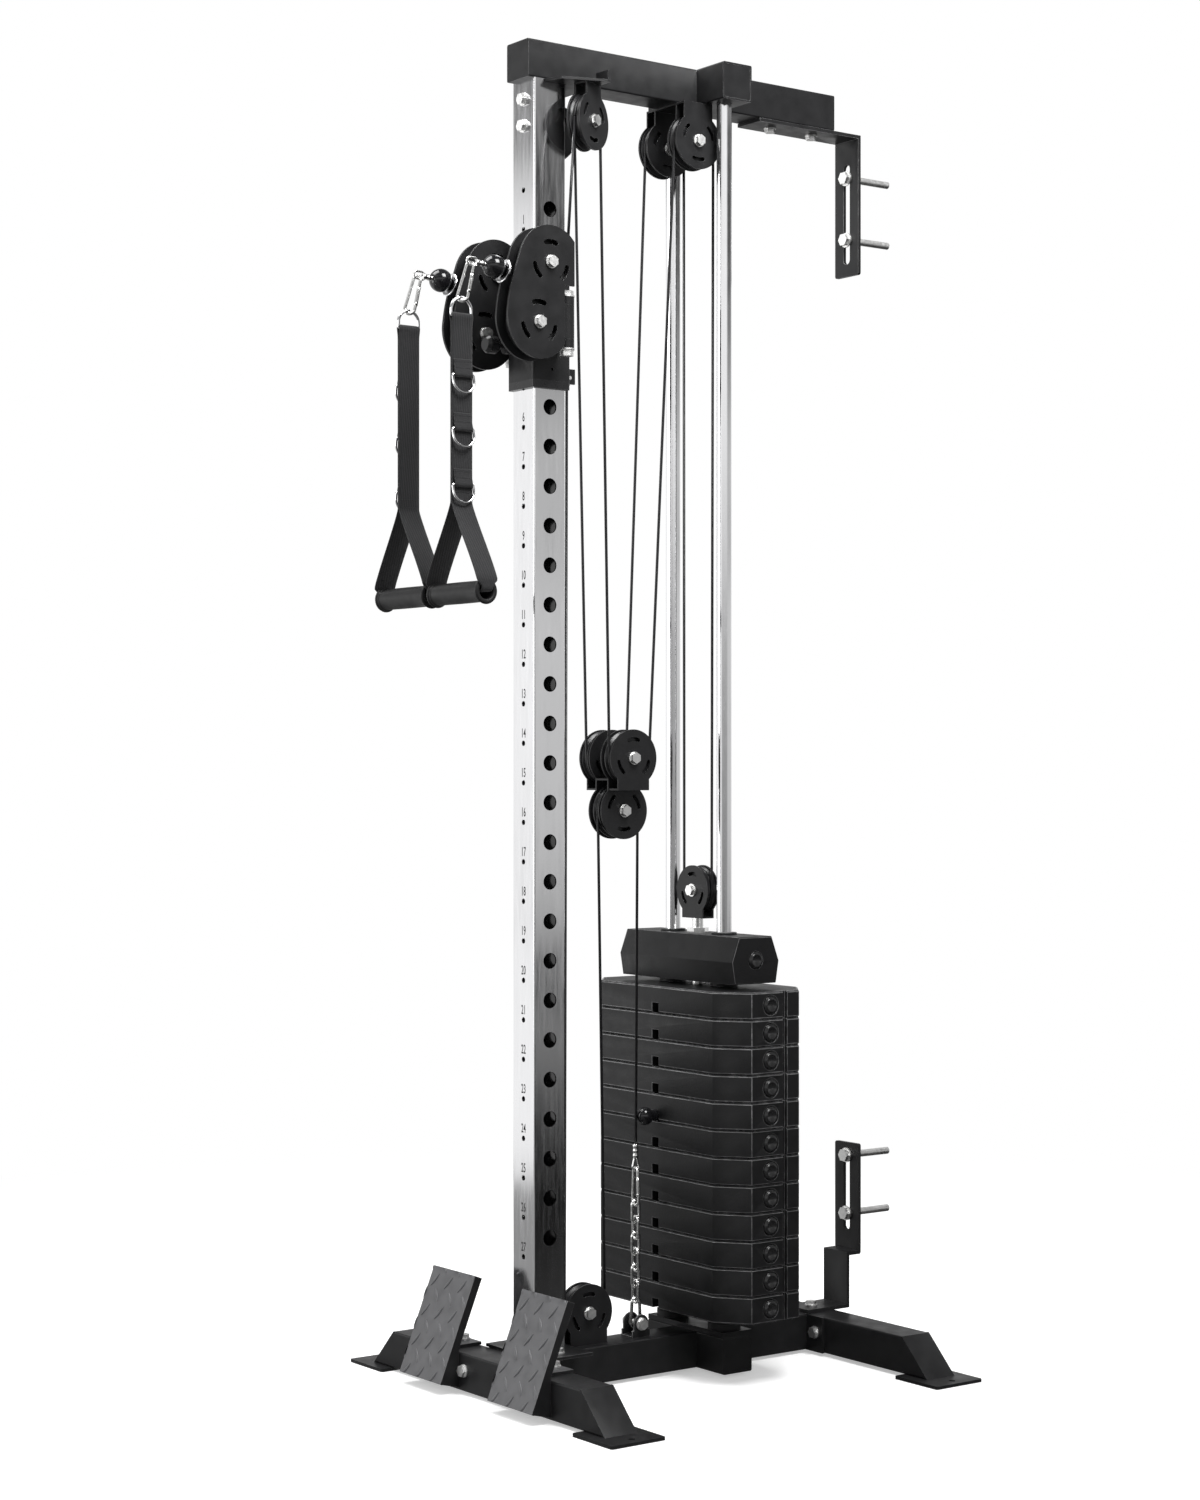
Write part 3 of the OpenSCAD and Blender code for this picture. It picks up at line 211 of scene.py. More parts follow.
# %% World
SIDE_MIRRORS = (0.822, 0.569, 0)  # level direction that the upright's right side mirrors into the camera
TO_CAMERA = (0.818, -0.575, 0)
# Grey over the height of a mirrored ray, from straight down at 0 to straight up at 1
FRONT_WALL = [(0.0, 0.5), (0.47, 0.9), (0.50, 1.0), (0.598, 1.0), (0.611, 0.2), (0.7, 0.2), (0.76, 0.75),
              (0.83, 0.75), (0.88, 0.12), (1.0, 0.12)]
BACK_WALL = [(0.0, 0.05), (0.44, 0.35), (0.473, 0.48), (0.491, 0.64), (0.510, 0.58), (0.529, 0.72),
             (0.542, 0.33), (0.554, 0.72), (0.566, 0.38), (0.592, 0.05), (0.609, 0.05), (0.626, 0.4),
             (0.68, 0.4), (0.72, 0.1), (1.0, 0.1)]
NEAR_WALL = [(0.0, 0.05), (0.42, 0.12), (0.48, 0.28), (0.52, 0.4), (0.56, 0.95), (0.64, 1.0), (0.7, 0.15),
             (1.0, 0.15)]

world = bpy.data.worlds.new("studio")
scene.world = world
world.use_nodes = True
add, link = new_nodes(world.node_tree)
where = add("ShaderNodeTexCoord")
split = add("ShaderNodeSeparateXYZ")
link(where, "Generated", split, "Vector")
height = add("ShaderNodeMath", {1: 0.5, 2: 0.5}, operation="MULTIPLY_ADD")
link(split, "Z", height, 0)
walls = []
for stops in (FRONT_WALL, BACK_WALL, NEAR_WALL):
    walls.append(add("ShaderNodeValToRGB"))
    ramp(walls[-1], stops)
    link(height, 0, walls[-1], "Fac")
room, room_output = walls[0], "Color"
for wall, direction, start, full in ((walls[1], SIDE_MIRRORS, 0.35, 0.8), (walls[2], TO_CAMERA, 0.6, 0.85)):
    share = share_along(add, link, where, "Generated", direction, start, full)
    mix = add("ShaderNodeMix", data_type="RGBA")
    link(share, "Result", mix, "Factor")
    link(room, room_output, mix, 6)
    link(wall, "Color", mix, 7)
    room, room_output = mix, 2
ray = add("ShaderNodeLightPath")
mirrored = add("ShaderNodeBackground", Strength=1.0)
link(room, room_output, mirrored, "Color")
fill = add("ShaderNodeBackground", Color=WHITE, Strength=0.45)
white = add("ShaderNodeBackground", Color=WHITE, Strength=1.0)
fill_or_mirror = mixed(add, link, ray, "Is Glossy Ray", fill, mirrored)
shown = mixed(add, link, ray, "Is Camera Ray", fill_or_mirror, white)
link(shown, 0, add("ShaderNodeOutputWorld"), "Surface")
print("world nodes:", len(world.node_tree.nodes))

# %% [markdown]
# ## Floor
# The photo's floor is plain white with a faint shade under the machine. A single pale sheet catches that
# shade; it fades to white further out, so that no horizon shows, and polished metal sees a grey one.

# %% Pale floor
REACH, FLOOR_Z = 9.0, -0.0005
floor_mesh = bpy.data.meshes.new("floor")
corners = [(x * REACH, y * REACH, FLOOR_Z) for x, y in ((-1, -1), (1, -1), (1, 1), (-1, 1))]
floor_mesh.from_pydata(corners, [], [(0, 1, 2, 3)])
floor = added("floor", floor_mesh)

floor_finish = bpy.data.materials.new("pale_floor")
floor_finish.use_nodes = True
add, link = new_nodes(floor_finish.node_tree)
matt = add("ShaderNodeBsdfDiffuse", Color=(0.8, 0.8, 0.8, 1))
bounce = add("ShaderNodeBsdfDiffuse", Color=(0.5, 0.5, 0.5, 1))
lift = add("ShaderNodeEmission", Color=WHITE, Strength=0.42)
lifted = add("ShaderNodeAddShader")
link(matt, 0, lifted, 0)
link(lift, 0, lifted, 1)
# Painted reflection: for mirrored rays the floor glows, light on the user's side, dark beside the machine and
# grey again further off
place = add("ShaderNodeTexCoord")
far_side = share_along(add, link, place, "Object", SIDE_MIRRORS, -2.8, 10.0)
grey = add("ShaderNodeValToRGB")
ramp(grey, [(0.0, 1.0), (0.027, 0.95), (0.039, 0.3), (0.2, 0.3), (0.25, 0.03), (0.367, 0.008), (0.43, 0.03),
            (0.52, 0.09), (0.58, 0.17), (0.7, 0.22), (0.8, 0.06), (0.93, 0.12)])
link(far_side, "Result", grey, "Fac")
seen_in_metal = add("ShaderNodeEmission", Strength=1.0)
link(grey, "Color", seen_in_metal, "Color")
# Seen floor: shaded near the machine and plain white further out
distance = add("ShaderNodeVectorMath", operation="LENGTH")
link(place, "Object", distance, 0)
away = add("ShaderNodeMapRange", {"From Min": 0.9, "From Max": 2.6}, interpolation_type="SMOOTHSTEP")
link(distance, "Value", away, "Value")
blank = add("ShaderNodeEmission", Color=WHITE, Strength=1.0)
shown = mixed(add, link, away, "Result", lifted, blank)
ray = add("ShaderNodeLightPath")
first = mixed(add, link, ray, "Is Camera Ray", bounce, shown)
second = mixed(add, link, ray, "Is Glossy Ray", first, seen_in_metal)
link(second, 0, add("ShaderNodeOutputMaterial"), "Surface")
floor_mesh.materials.append(floor_finish)
print("floor:", 2 * REACH, "m wide")

# %% [markdown]
# ## Finishes
# Each finish is one Principled shader. What is the same all over sits on its sockets; what varies, such
# as the grain of powder coat or the wipe marks on polished steel, comes from noise read in Object
# coordinates, so that it stays on the part when the part moves.


# %% A base for every finish
def finish(name, colour, rough, rough_range, noise_scale, stretch=(1, 1, 1), bump=0.0, bump_scale=900,
           bump_far=0.0002, metal=0.0, specular=0.5, tint=0.15):
    """Principled finish: noise moves the roughness by rough_range and the colour by the share tint,
    and a finer noise raises the surface by bump."""
    made = bpy.data.materials.new(name)
    made.use_nodes = True
    add, link = new_nodes(made.node_tree)
    body = add("ShaderNodeBsdfPrincipled", {"Metallic": metal, "Specular IOR Level": specular})
    where = add("ShaderNodeTexCoord")
    turn = add("ShaderNodeMapping", Scale=stretch)
    link(where, "Object", turn, "Vector")
    cloud = add("ShaderNodeTexNoise", Scale=noise_scale, Detail=4.0)
    link(turn, "Vector", cloud, "Vector")
    rough_of = add("ShaderNodeMapRange", {"From Min": 0.3, "From Max": 0.7, "To Min": rough - rough_range,
                                          "To Max": rough + rough_range})
    link(cloud, "Fac", rough_of, "Value")
    link(rough_of, "Result", body, "Roughness")
    shade = add("ShaderNodeValToRGB")
    stops = shade.color_ramp.elements
    stops[0].position, stops[1].position = 0.3, 0.7
    stops[0].color = (*[c * (1 - tint) for c in colour], 1)
    stops[1].color = (*[min(1, c * (1 + tint)) for c in colour], 1)
    link(cloud, "Fac", shade, "Fac")
    link(shade, "Color", body, "Base Color")
    if bump:
        grain = add("ShaderNodeTexNoise", Scale=bump_scale, Detail=2.0)
        link(where, "Object", grain, "Vector")
        raised = add("ShaderNodeBump", Strength=bump, Distance=bump_far)
        link(grain, "Fac", raised, "Height")
        link(raised, "Normal", body, "Normal")
    link(body, "BSDF", add("ShaderNodeOutputMaterial"), "Surface")
    return made


powder_coat = finish("powder_coat", (0.0135, 0.0135, 0.0142), 0.38, 0.06, 40, bump=0.35, bump_scale=700,
                     specular=0.28)
mirror_steel = finish("mirror_steel", (0.86, 0.86, 0.87), 0.13, 0.05, 30, (6, 6, 0.5), metal=1.0, tint=0.03)
chrome_rod = finish("chrome_rod", (0.87, 0.87, 0.88), 0.12, 0.03, 25, (4, 4, 1), metal=1.0, tint=0.03)
zinc = finish("zinc", (0.88, 0.88, 0.87), 0.17, 0.07, 220, metal=1.0, tint=0.06)
plated_bolt = finish("plated_bolt", (0.92, 0.92, 0.91), 0.42, 0.08, 220, metal=1.0, tint=0.06)
nylon = finish("nylon", (0.014, 0.014, 0.015), 0.3, 0.05, 80, specular=0.4, tint=0.1)
cable_skin = finish("cable_skin", (0.012, 0.012, 0.013), 0.34, 0.06, 120, (1, 1, 0.2), specular=0.4)
plate_shell = finish("plate_shell", (0.008, 0.008, 0.0085), 0.42, 0.06, 45, bump=0.6, bump_scale=420,
                     bump_far=0.0004, specular=0.26)
tread_steel = finish("tread_steel", (0.085, 0.085, 0.089), 0.42, 0.1, 60, bump=0.2, bump_scale=500)
soft_rubber = finish("soft_rubber", (0.011, 0.011, 0.0115), 0.5, 0.07, 90, bump=0.3, bump_scale=1200,
                     specular=0.3)
gloss_ball = finish("gloss_ball", (0.008, 0.008, 0.009), 0.13, 0.03, 60, tint=0.05)
# Lighter, glossier greys for the rounded edges of coat and plates: a painted highlight along every edge
painted_highlight_coat = finish("painted_highlight_coat", (0.15, 0.15, 0.152), 0.22, 0.08, 35, specular=0.6, tint=0.6)
painted_highlight_shell = finish("painted_highlight_shell", (0.11, 0.11, 0.112), 0.26, 0.06, 70, specular=0.6, tint=0.4)
plug_cap = finish("plug_cap", (0.014, 0.014, 0.0145), 0.24, 0.04, 60, specular=0.6, tint=0.1)
ink = finish("ink", (0.03, 0.03, 0.03), 0.5, 0.05, 200, specular=0.2)
print("materials now:", len(bpy.data.materials))

# %% [markdown]
# ### Dark inside of the upright
# The upright is only polished outside. Seen through its holes, the inside of the tube is bare and lies in
# shade, so the same finish turns dull wherever a point lies deeper than the tube's wall, and its near-black
# colour there is painted shade.

# %% Dark inside of the upright
INSIDE = 0.0275  # the 60 mm tube's half width less its wall

upright_steel = mirror_steel.copy()
upright_steel.name = "upright_steel"
add, link = new_nodes(upright_steel.node_tree, keep=True)
steel = next(node for node in upright_steel.node_tree.nodes if node.type == "BSDF_PRINCIPLED")
polish = steel.inputs["Base Color"].links[0].from_node
where = add("ShaderNodeTexCoord")
from_centre = add("ShaderNodeVectorMath", {1: (0, SHIFT_Y, 0)}, operation="ADD")
link(where, "Object", from_centre, 0)
size = add("ShaderNodeVectorMath", operation="ABSOLUTE")
link(from_centre, "Vector", size, 0)
sides = add("ShaderNodeSeparateXYZ")
link(size, "Vector", sides, 0)
furthest = add("ShaderNodeMath", operation="MAXIMUM")
link(sides, "X", furthest, 0)
link(sides, "Y", furthest, 1)
outside = add("ShaderNodeMath", {1: INSIDE}, operation="GREATER_THAN")
link(furthest, "Value", outside, 0)
# Near-black inside the wall: painted shade for the inside of the tube
painted_shade_or_polished = add("ShaderNodeMix", {6: (0.01, 0.01, 0.01, 1)}, data_type="RGBA")
link(outside, "Value", painted_shade_or_polished, "Factor")
link(polish, "Color", painted_shade_or_polished, 7)
link(painted_shade_or_polished, 2, steel, "Base Color")
link(outside, "Value", steel, "Metallic")
print("made", upright_steel.name)

# %% [markdown]
# ## Which part gets which finish
# A part's name tells what it is made of, so the finish is chosen by name. Whatever isn't named here is
# black powder coat, as most of the frame is.

# %% Hand out the finishes
FINISH_OF = {"upright": upright_steel, "guide_rods": chrome_rod, "foot_plates": tread_steel,
             "picked_plates": plate_shell, "resting_plates": plate_shell, "head_plate": plate_shell,
             "stack_bumpers": soft_rubber, "selector_pin": gloss_ball, "lock_pin": nylon,
             "carriage_liners": nylon, "selector_stem": zinc, "anchor_chain": zinc}


def finish_for(name):
    """Bolts, sheaves and cables are known by a word in their name, the rest by their whole name."""
    for word, made in (("bolt", plated_bolt), ("sheave", nylon), ("cable", cable_skin)):
        if word in name:
            return made
    return FINISH_OF.get(name, powder_coat)


for name, part in nodes.items():
    part.data.materials.clear()
    part.data.materials.append(finish_for(name))
print("black coated parts:", sum(finish_for(name) == powder_coat for name in nodes))

# %% [markdown]
# ## Soft edges
# A CAD edge is perfectly sharp, and a real one never is: powder coat and moulded rubber round it, and that
# thin round catches the light along every edge. Each sharp part is copied, its loose triangles are merged
# back into whole faces, and a narrow bevel rounds every edge that turns by more than 40 degrees. The round
# gets a much lighter grey finish than the part, a painted highlight along every edge.
# The cheeks of the swivels are made fuller at the waist on the way, and the foot plates' cut sides get the
# black coat that only their tread has lost.

# %% Helpers for soft edges
SHELLS = ("picked_plates", "resting_plates", "head_plate")
SHARP = math.radians(40)
# A swivel's cheek: radius of its rim, and (y, z) of its upper and lower pulley from the upright's centre line
CHEEK_R, CHEEK_TOP, CHEEK_LOW = 0.057, np.array([-0.042, 1.774]), np.array([-0.064, 1.679])
RIM = CHEEK_R - 0.0004  # what lies further out than this is rim


def fuller_waist(shape, fullness=0.006, middle=0.062, reach=0.085):
    """Moves the front rim of a swivel's cheeks outwards by fullness * cos^2(90 deg * (s - middle) / reach),
    where s runs from the upper pulley to the lower one, so that the straight waist becomes a curve."""
    span = CHEEK_LOW - CHEEK_TOP
    down = span / np.linalg.norm(span)
    front = np.array([down[1], -down[0]])
    zero = CHEEK_TOP - (SHIFT_Y, 0)

    def place(vert):
        at = np.array([vert.co.y, vert.co.z]) - zero
        return at @ down, at @ front

    def on_front_line(edge):
        (s0, q0), (s1, q1) = place(edge.verts[0]), place(edge.verts[1])
        return abs(s1 - s0) > 0.05 and min(q0, q1) > RIM

    lines = [edge for edge in shape.edges if on_front_line(edge)]
    bmesh.ops.subdivide_edges(shape, edges=lines, cuts=15, use_grid_fill=True)
    for vert in shape.verts:
        s, q = place(vert)
        outside = max(0, s - np.linalg.norm(span), -s)
        if q > 0 and math.hypot(outside, q) > RIM and abs(s - middle) < reach:
            move = fullness * math.cos(math.pi / 2 * (s - middle) / reach) ** 2 * front
            vert.co.y, vert.co.z = vert.co.y + move[0], vert.co.z + move[1]


def soft_edged(name, width):
    """Copy of a CAD node whose sharp edges get a round of the given width, in metres, in a lighter finish
    that paints a highlight along them.
    """
    part = nodes[name]
    made = added(name + "_soft_edged", part.data.copy())
    # Slot 1 is the lighter edge finish, a painted highlight
    made.data.materials.append(painted_highlight_shell if name in SHELLS else painted_highlight_coat)
    shape = bmesh.new()
    shape.from_mesh(made.data)
    bmesh.ops.remove_doubles(shape, verts=shape.verts, dist=0.000003)
    bmesh.ops.dissolve_limit(shape, angle_limit=math.radians(0.6), verts=shape.verts, edges=shape.edges)
    if name in ("swivel_left", "swivel_right"):
        fuller_waist(shape)
    if name == "foot_plates":
        made.data.materials.append(powder_coat)
        for face in shape.faces:
            face.material_index = 2 if abs(face.normal.x) > 0.9 else 0
    shape.to_mesh(made.data)
    shape.free()
    made.data.shade_smooth()
    made.data.set_sharp_from_angle(angle=SHARP)
    rounding = made.modifiers.new("rounding", "BEVEL")
    rounding.width, rounding.segments = width, 2
    rounding.limit_method, rounding.angle_limit = "ANGLE", SHARP
    rounding.harden_normals = True
    # The round takes slot 1, the lighter finish: a painted highlight along the edge
    rounding.material = 1
    rounding.use_clamp_overlap = True
    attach(made, body_of(part)[0])
    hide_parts(name)


# %% Copies with a narrow round on every edge
EDGES = {"picked_plates": 0.0016, "resting_plates": 0.0016, "head_plate": 0.0022, "swivel_left": 0.0007,
         "swivel_right": 0.0007, "floating_block": 0.0006, "front_pulley_mount": 0.0006,
         "rear_pulley_mount": 0.0006, "base_pulley_mount": 0.0006, "stack_pulley_bracket": 0.0006,
         "wall_bracket_top": 0.0007, "wall_bracket_bottom": 0.0007, "foot_plates": 0.0006, "top_beam": 0.0006,
         "base_spine": 0.0006, "front_foot_beam": 0.0006, "rear_foot_beam": 0.0006,
         "upright_base_plate": 0.0006, "carriage_sleeve": 0.0006, "anchor_bracket": 0.0006}
for name, width in EDGES.items():
    soft_edged(name, width)
print("soft-edged parts:", len(EDGES))

# %% [markdown]
# ## From arrays to meshes
# The new pieces are grids of points worked out with numpy. A shape is either a small outline carried
# along a path, for cables, links and webbing, or a profile turned about an axis, for balls and grips.
# All places are in millimetres from the upright's centre line, and one function turns them into metres.

# %% Helpers that make the meshes
MM = 0.001
ROW_STEP = 0.004  # length of one row on the UV map, where no path gives it
X_AXIS, Y_AXIS, UP = np.eye(3)
SIDES = ((-1, "left"), (1, "right"))


def in_metres(points):
    """Millimetres from the upright's centre line to metres in the row frame."""
    return (np.asarray(points, float) - (0, SHIFT_Y / MM, 0)) * MM


def unit(vector):
    """The same direction with length 1."""
    vector = np.asarray(vector, float)
    return vector / np.linalg.norm(vector)


def surface(name, grid, along=False, girth=1.0, lengths=None):
    """Object from a grid of rows and columns of points. Each row closes on itself. The last row joins the
    first when along is true, and otherwise both ends get a cap. UVs are metres round and metres along. The
    faces are turned outward by the sign of the volume, a sum of a . (b x c) / 6 over the triangles."""
    rows, cols = grid.shape[:2]
    i, j = np.meshgrid(np.arange(rows if along else rows - 1), np.arange(cols), indexing="ij")
    i, j = i.ravel(), j.ravel()
    i2, j2 = (i + 1) % rows, (j + 1) % cols
    faces = np.stack([i * cols + j, i * cols + j2, i2 * cols + j2, i2 * cols + j], 1).tolist()
    points = grid.reshape(-1, 3)
    if lengths is None:
        lengths = np.arange(rows + 1) * ROW_STEP
    u0, u1 = j / cols * girth, (j + 1) / cols * girth
    v0, v1 = lengths[i], lengths[i + 1]
    uvs = np.stack([u0, v0, u1, v0, u1, v1, u0, v1], 1).reshape(-1, 2)
    if not along:
        first, last = len(points), len(points) + 1
        points = np.vstack([points, grid[0].mean(0), grid[-1].mean(0)])
        a = np.arange(cols)
        b = (a + 1) % cols
        end = (rows - 1) * cols
        faces += np.stack([b, a, np.full(cols, first)], 1).tolist()
        faces += np.stack([end + a, end + b, np.full(cols, last)], 1).tolist()
        uvs = np.vstack([uvs, np.zeros((6 * cols, 2))])
    points = in_metres(points)
    tri = np.array([(f[0], f[k], f[k + 1]) for f in faces for k in range(1, len(f) - 1)])
    a, b, c = points[tri[:, 0]], points[tri[:, 1]], points[tri[:, 2]]
    mesh = bpy.data.meshes.new(name)
    mesh.from_pydata(points.tolist(), [], faces)
    mesh.uv_layers.new(name="UVMap").data.foreach_set("uv", np.asarray(uvs, np.float32).ravel())
    if np.einsum("ij,ij->", a, np.cross(b, c)) / 6 < 0:
        mesh.flip_normals()
    mesh.validate()
    mesh.shade_smooth()
    return added(name, mesh)


def joined(name, parts, coat=None):
    """One object from several: it keeps their UVs, gets one finish, and the parts go."""
    verts, faces, uvs, base = [], [], [], 0
    for part in parts:
        mesh = part.data
        co = np.empty(len(mesh.vertices) * 3)
        mesh.vertices.foreach_get("co", co)
        verts.append(co.reshape(-1, 3))
        faces += [[v + base for v in face.vertices] for face in mesh.polygons]
        flat = np.zeros(len(mesh.loops) * 2)
        if mesh.uv_layers:
            mesh.uv_layers[0].data.foreach_get("uv", flat)
        uvs.append(flat)
        base += len(mesh.vertices)
        bpy.data.objects.remove(part)
    mesh = bpy.data.meshes.new(name)
    mesh.from_pydata(np.vstack(verts).tolist(), [], faces)
    mesh.uv_layers.new(name="UVMap").data.foreach_set("uv", np.concatenate(uvs).astype(np.float32))
    if coat:
        mesh.materials.append(coat)
    mesh.shade_smooth()
    return added(name, mesh)


# %% Helpers that draw paths and sweep outlines
def swept(name, path, outline, side, closed=False):
    """Carries an outline of (across, out) pairs along a path. At each point the direction of travel is the
    central difference; across is the side vector made square to it, and out is their cross product."""
    path, side = np.asarray(path, float), np.asarray(side, float)
    if closed:
        travel = np.roll(path, -1, 0) - np.roll(path, 1, 0)
    else:
        travel = np.gradient(path, axis=0)
    travel /= np.linalg.norm(travel, axis=1, keepdims=True)
    across = side - travel * (travel @ side)[:, None]
    across /= np.linalg.norm(across, axis=1, keepdims=True)
    out = np.cross(travel, across)
    outline = np.asarray(outline, float)
    if outline.ndim == 2:
        outline = np.repeat(outline[None], len(path), 0)
    grid = path[:, None] + outline[..., :1] * across[:, None] + outline[..., 1:] * out[:, None]
    steps = np.linalg.norm(np.diff(path, axis=0, append=path[:1] if closed else path[-1:]), axis=1)
    lengths = np.concatenate([[0], np.cumsum(steps)]) * MM
    girth = np.linalg.norm(np.diff(outline[0], axis=0, append=outline[0][:1]), axis=1).sum() * MM
    return surface(name, grid, closed, girth, lengths)


def ring_of(radius, count=14):
    """Points of a circle, anticlockwise."""
    turn = np.arange(count) / count * 2 * math.pi
    return np.stack([radius * np.cos(turn), radius * np.sin(turn)], 1)


def turned(name, profile, middle, axis, count=48):
    """Turns a profile of (along, radius) pairs about an axis through middle. A profile with both ends off the
    axis is closed into a ring; any other gets its ends capped."""
    axis = unit(axis)
    first = unit(np.cross(axis, UP if abs(axis[2]) < 0.9 else X_AXIS))
    second = np.cross(axis, first)
    profile = np.asarray(profile, float)
    ring = ring_of(1, count)
    spoke = ring[:, :1] * first + ring[:, 1:] * second
    grid = np.asarray(middle) + profile[:, None, :1] * axis + profile[:, None, 1:] * spoke[None]
    is_ring = min(profile[0, 1], profile[-1, 1]) > 1
    return surface(name, grid, is_ring, 2 * math.pi * profile[:, 1].max() * MM)


def straight(a, b, step):
    """Evenly spaced points from a to b, at most about step apart, both ends included."""
    a, b = np.asarray(a, float), np.asarray(b, float)
    count = max(2, int(np.linalg.norm(b - a) / step))
    return np.vstack([a + (b - a) * (np.arange(count) / count)[:, None], b])


def half_turn(middle, radius, across, up):
    """Points on a half circle about middle, from across by way of up to the far side, every 7.5 degrees."""
    t = np.radians(np.linspace(0, 180, 25))[:, None]
    return np.asarray(middle) + radius * (np.cos(t) * np.asarray(across) + np.sin(t) * np.asarray(up))


def softened(path, times, closed=False):
    """Cuts each corner at a quarter of its sides, several times over, which rounds a polyline."""
    path = np.asarray(path, float)
    for _ in range(times):
        after = np.roll(path, -1, 0)
        cut = np.stack([0.75 * path + 0.25 * after, 0.25 * path + 0.75 * after], 1).reshape(-1, 3)
        path = cut if closed else np.vstack([path[:1], cut[:-2], path[-1:]])
    return path


# %% [markdown]
# ## Cables
# One cable runs from each handle, through the swivel, over the front and rear pulleys and down to the
# stack. A second one ties the carriage to the floating block. They stay taut, so their paths are straight
# runs and arcs about the pulleys. A run between two bodies is blended, so that it stretches when
# the carriage, block or stack moves. It has points at its two ends only, which keeps it straight.

# %% Cable paths
CABLE, GROOVE, STACK_R = 2.3, 40.0, 36.5  # radii of a cable, and of its path round a sheave
TOP_Z, BLOCK_Z, LOW_Z, STACK_Z, BASE_Z = 2012.5, 1005.0, 920.0, 787.0, 116.0  # heights of the pulleys
BLOCK_Y, BASE_Y, ANCHOR_Y, ROD_Y = 155.7, 89.5, 192.0, 321.0
SWIVEL_X = 75.0
TURN = math.radians(24)  # the front pulleys stand askew, towards the rear ones
LOCK_Z = 1652.1  # height of the carriage's lock pin
UPPER = np.array([-42.0, LOCK_Z + 121.9])  # (y, z) of the swivels' upper pulleys
LUG_Y, LUG_Z = 54, LOCK_Z - 44  # where the low cable leaves the carriage
GAP = 0.3  # clearance that the CAD model leaves between two lengths of one cable
LINKS, PITCH, LINK_WIRE = 6, 26, 5
CHAIN_Z = 87 + 37.2  # the anchor bolt's height and the shackle on it
CHAIN_TOP = CHAIN_Z + LINKS * PITCH
FERRULE_Z = CHAIN_TOP + 56 + 18.7


def cable(name, path, start_body, end_body, start, end):
    """Cable tube blended between two bodies: it follows start_body before start and end_body after end."""
    made = swept(name, path, ring_of(CABLE), (1.0, 0.02, 0.03))
    made.data.materials.append(cable_skin)
    place = [in_metres(p) for p in (start, end)]
    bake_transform(made, start_body, end_body, start=tuple(place[0]), end=tuple(place[1]))
    return made


# %% Handle cable: past the front pulley, round the block, over the rear pulley and under the stack's
FRONT = np.array([51.0, 58.0, TOP_Z])
FRONT_DIR = np.array([-math.sin(TURN), math.cos(TURN), 0])
REAR = np.array([39.0, 282.0, TOP_Z])
BLOCK = np.array([31.0, BLOCK_Y, BLOCK_Z])
hinge = np.vstack([(SWIVEL_X, 0, UPPER[1] + GAP), FRONT - GROOVE * FRONT_DIR])
over = np.vstack([half_turn(FRONT, GROOVE, -FRONT_DIR, UP), half_turn(BLOCK, GROOVE, -Y_AXIS, -UP),
                  half_turn(REAR, GROOVE, -Y_AXIS, UP)])
for s, side_name in SIDES:
    path = hinge * (s, 1, 1)
    cable(f"hinge_cable_{side_name}", path, "carriage", "root", (0, 0, UPPER[1]), (0, 0, TOP_Z))
    path = over * (s, 1, 1)
    cable(f"block_cable_{side_name}", path, "root", "floating_block", (0, 0, TOP_Z), (0, 0, BLOCK_Z))
rear_down = REAR + GROOVE * Y_AXIS
stack_run = np.vstack([rear_down * (-1, 1, 1), half_turn((0, ROD_Y, STACK_Z), STACK_R, -X_AXIS, -UP),
                       rear_down])
made = swept("stack_cable", stack_run, ring_of(CABLE), Y_AXIS)
made.data.materials.append(cable_skin)
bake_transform(made, "root", "lifted_stack", start=(0, 0, TOP_Z * MM), end=(0, 0, STACK_Z * MM))
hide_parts("stack_cables")
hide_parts("hinge_cables")
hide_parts("block_cables")
print("handle cable:", len(over), "points a side,", len(stack_run), "at the stack")

# %% Low cable: from the carriage under the base pulley, over the block's low pulley and down to the chain
base_run = np.vstack([half_turn((0, BASE_Y, BASE_Z), GROOVE, Y_AXIS, -UP), (0, LUG_Y, LUG_Z)])
made = cable("carriage_cable", base_run, "root", "carriage", (0, 0, BASE_Z), (0, 0, LUG_Z))
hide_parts("carriage_cable")
FERRULE_TOP = FERRULE_Z + 22
low_run = np.vstack([(0, BASE_Y + GROOVE, BASE_Z), half_turn((0, BLOCK_Y, LOW_Z), GROOVE, -Y_AXIS, UP),
                     (0, ANCHOR_Y, FERRULE_TOP)])
made = cable("low_block_cable", low_run, "root", "floating_block", (0, 0, FERRULE_TOP), (0, 0, LOW_Z))
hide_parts("low_block_cable")
print("low cable:", len(base_run), "+", len(low_run), "points")

# %% [markdown]
# ## Links, hooks and rings
# A chain link, a snap hook and a D-ring are the same idea: a round wire bent into a closed loop. Only the
# outline of the loop differs, so one function sweeps the wire and small ones draw the outlines.


# %% Closed wire loops
AXIS_R = 0.05  # a turned profile ends this near to its axis


def loop(name, flat, middle, across, up, wire):
    """Wire of one diameter along a closed flat outline: x lies along across and y along up."""
    flat = np.asarray(flat, float)
    across, up = np.asarray(across, float), np.asarray(up, float)
    path = np.asarray(middle) + flat[:, :1] * across + flat[:, 1:] * up
    return swept(name, path, ring_of(wire / 2), np.cross(across, up), closed=True)


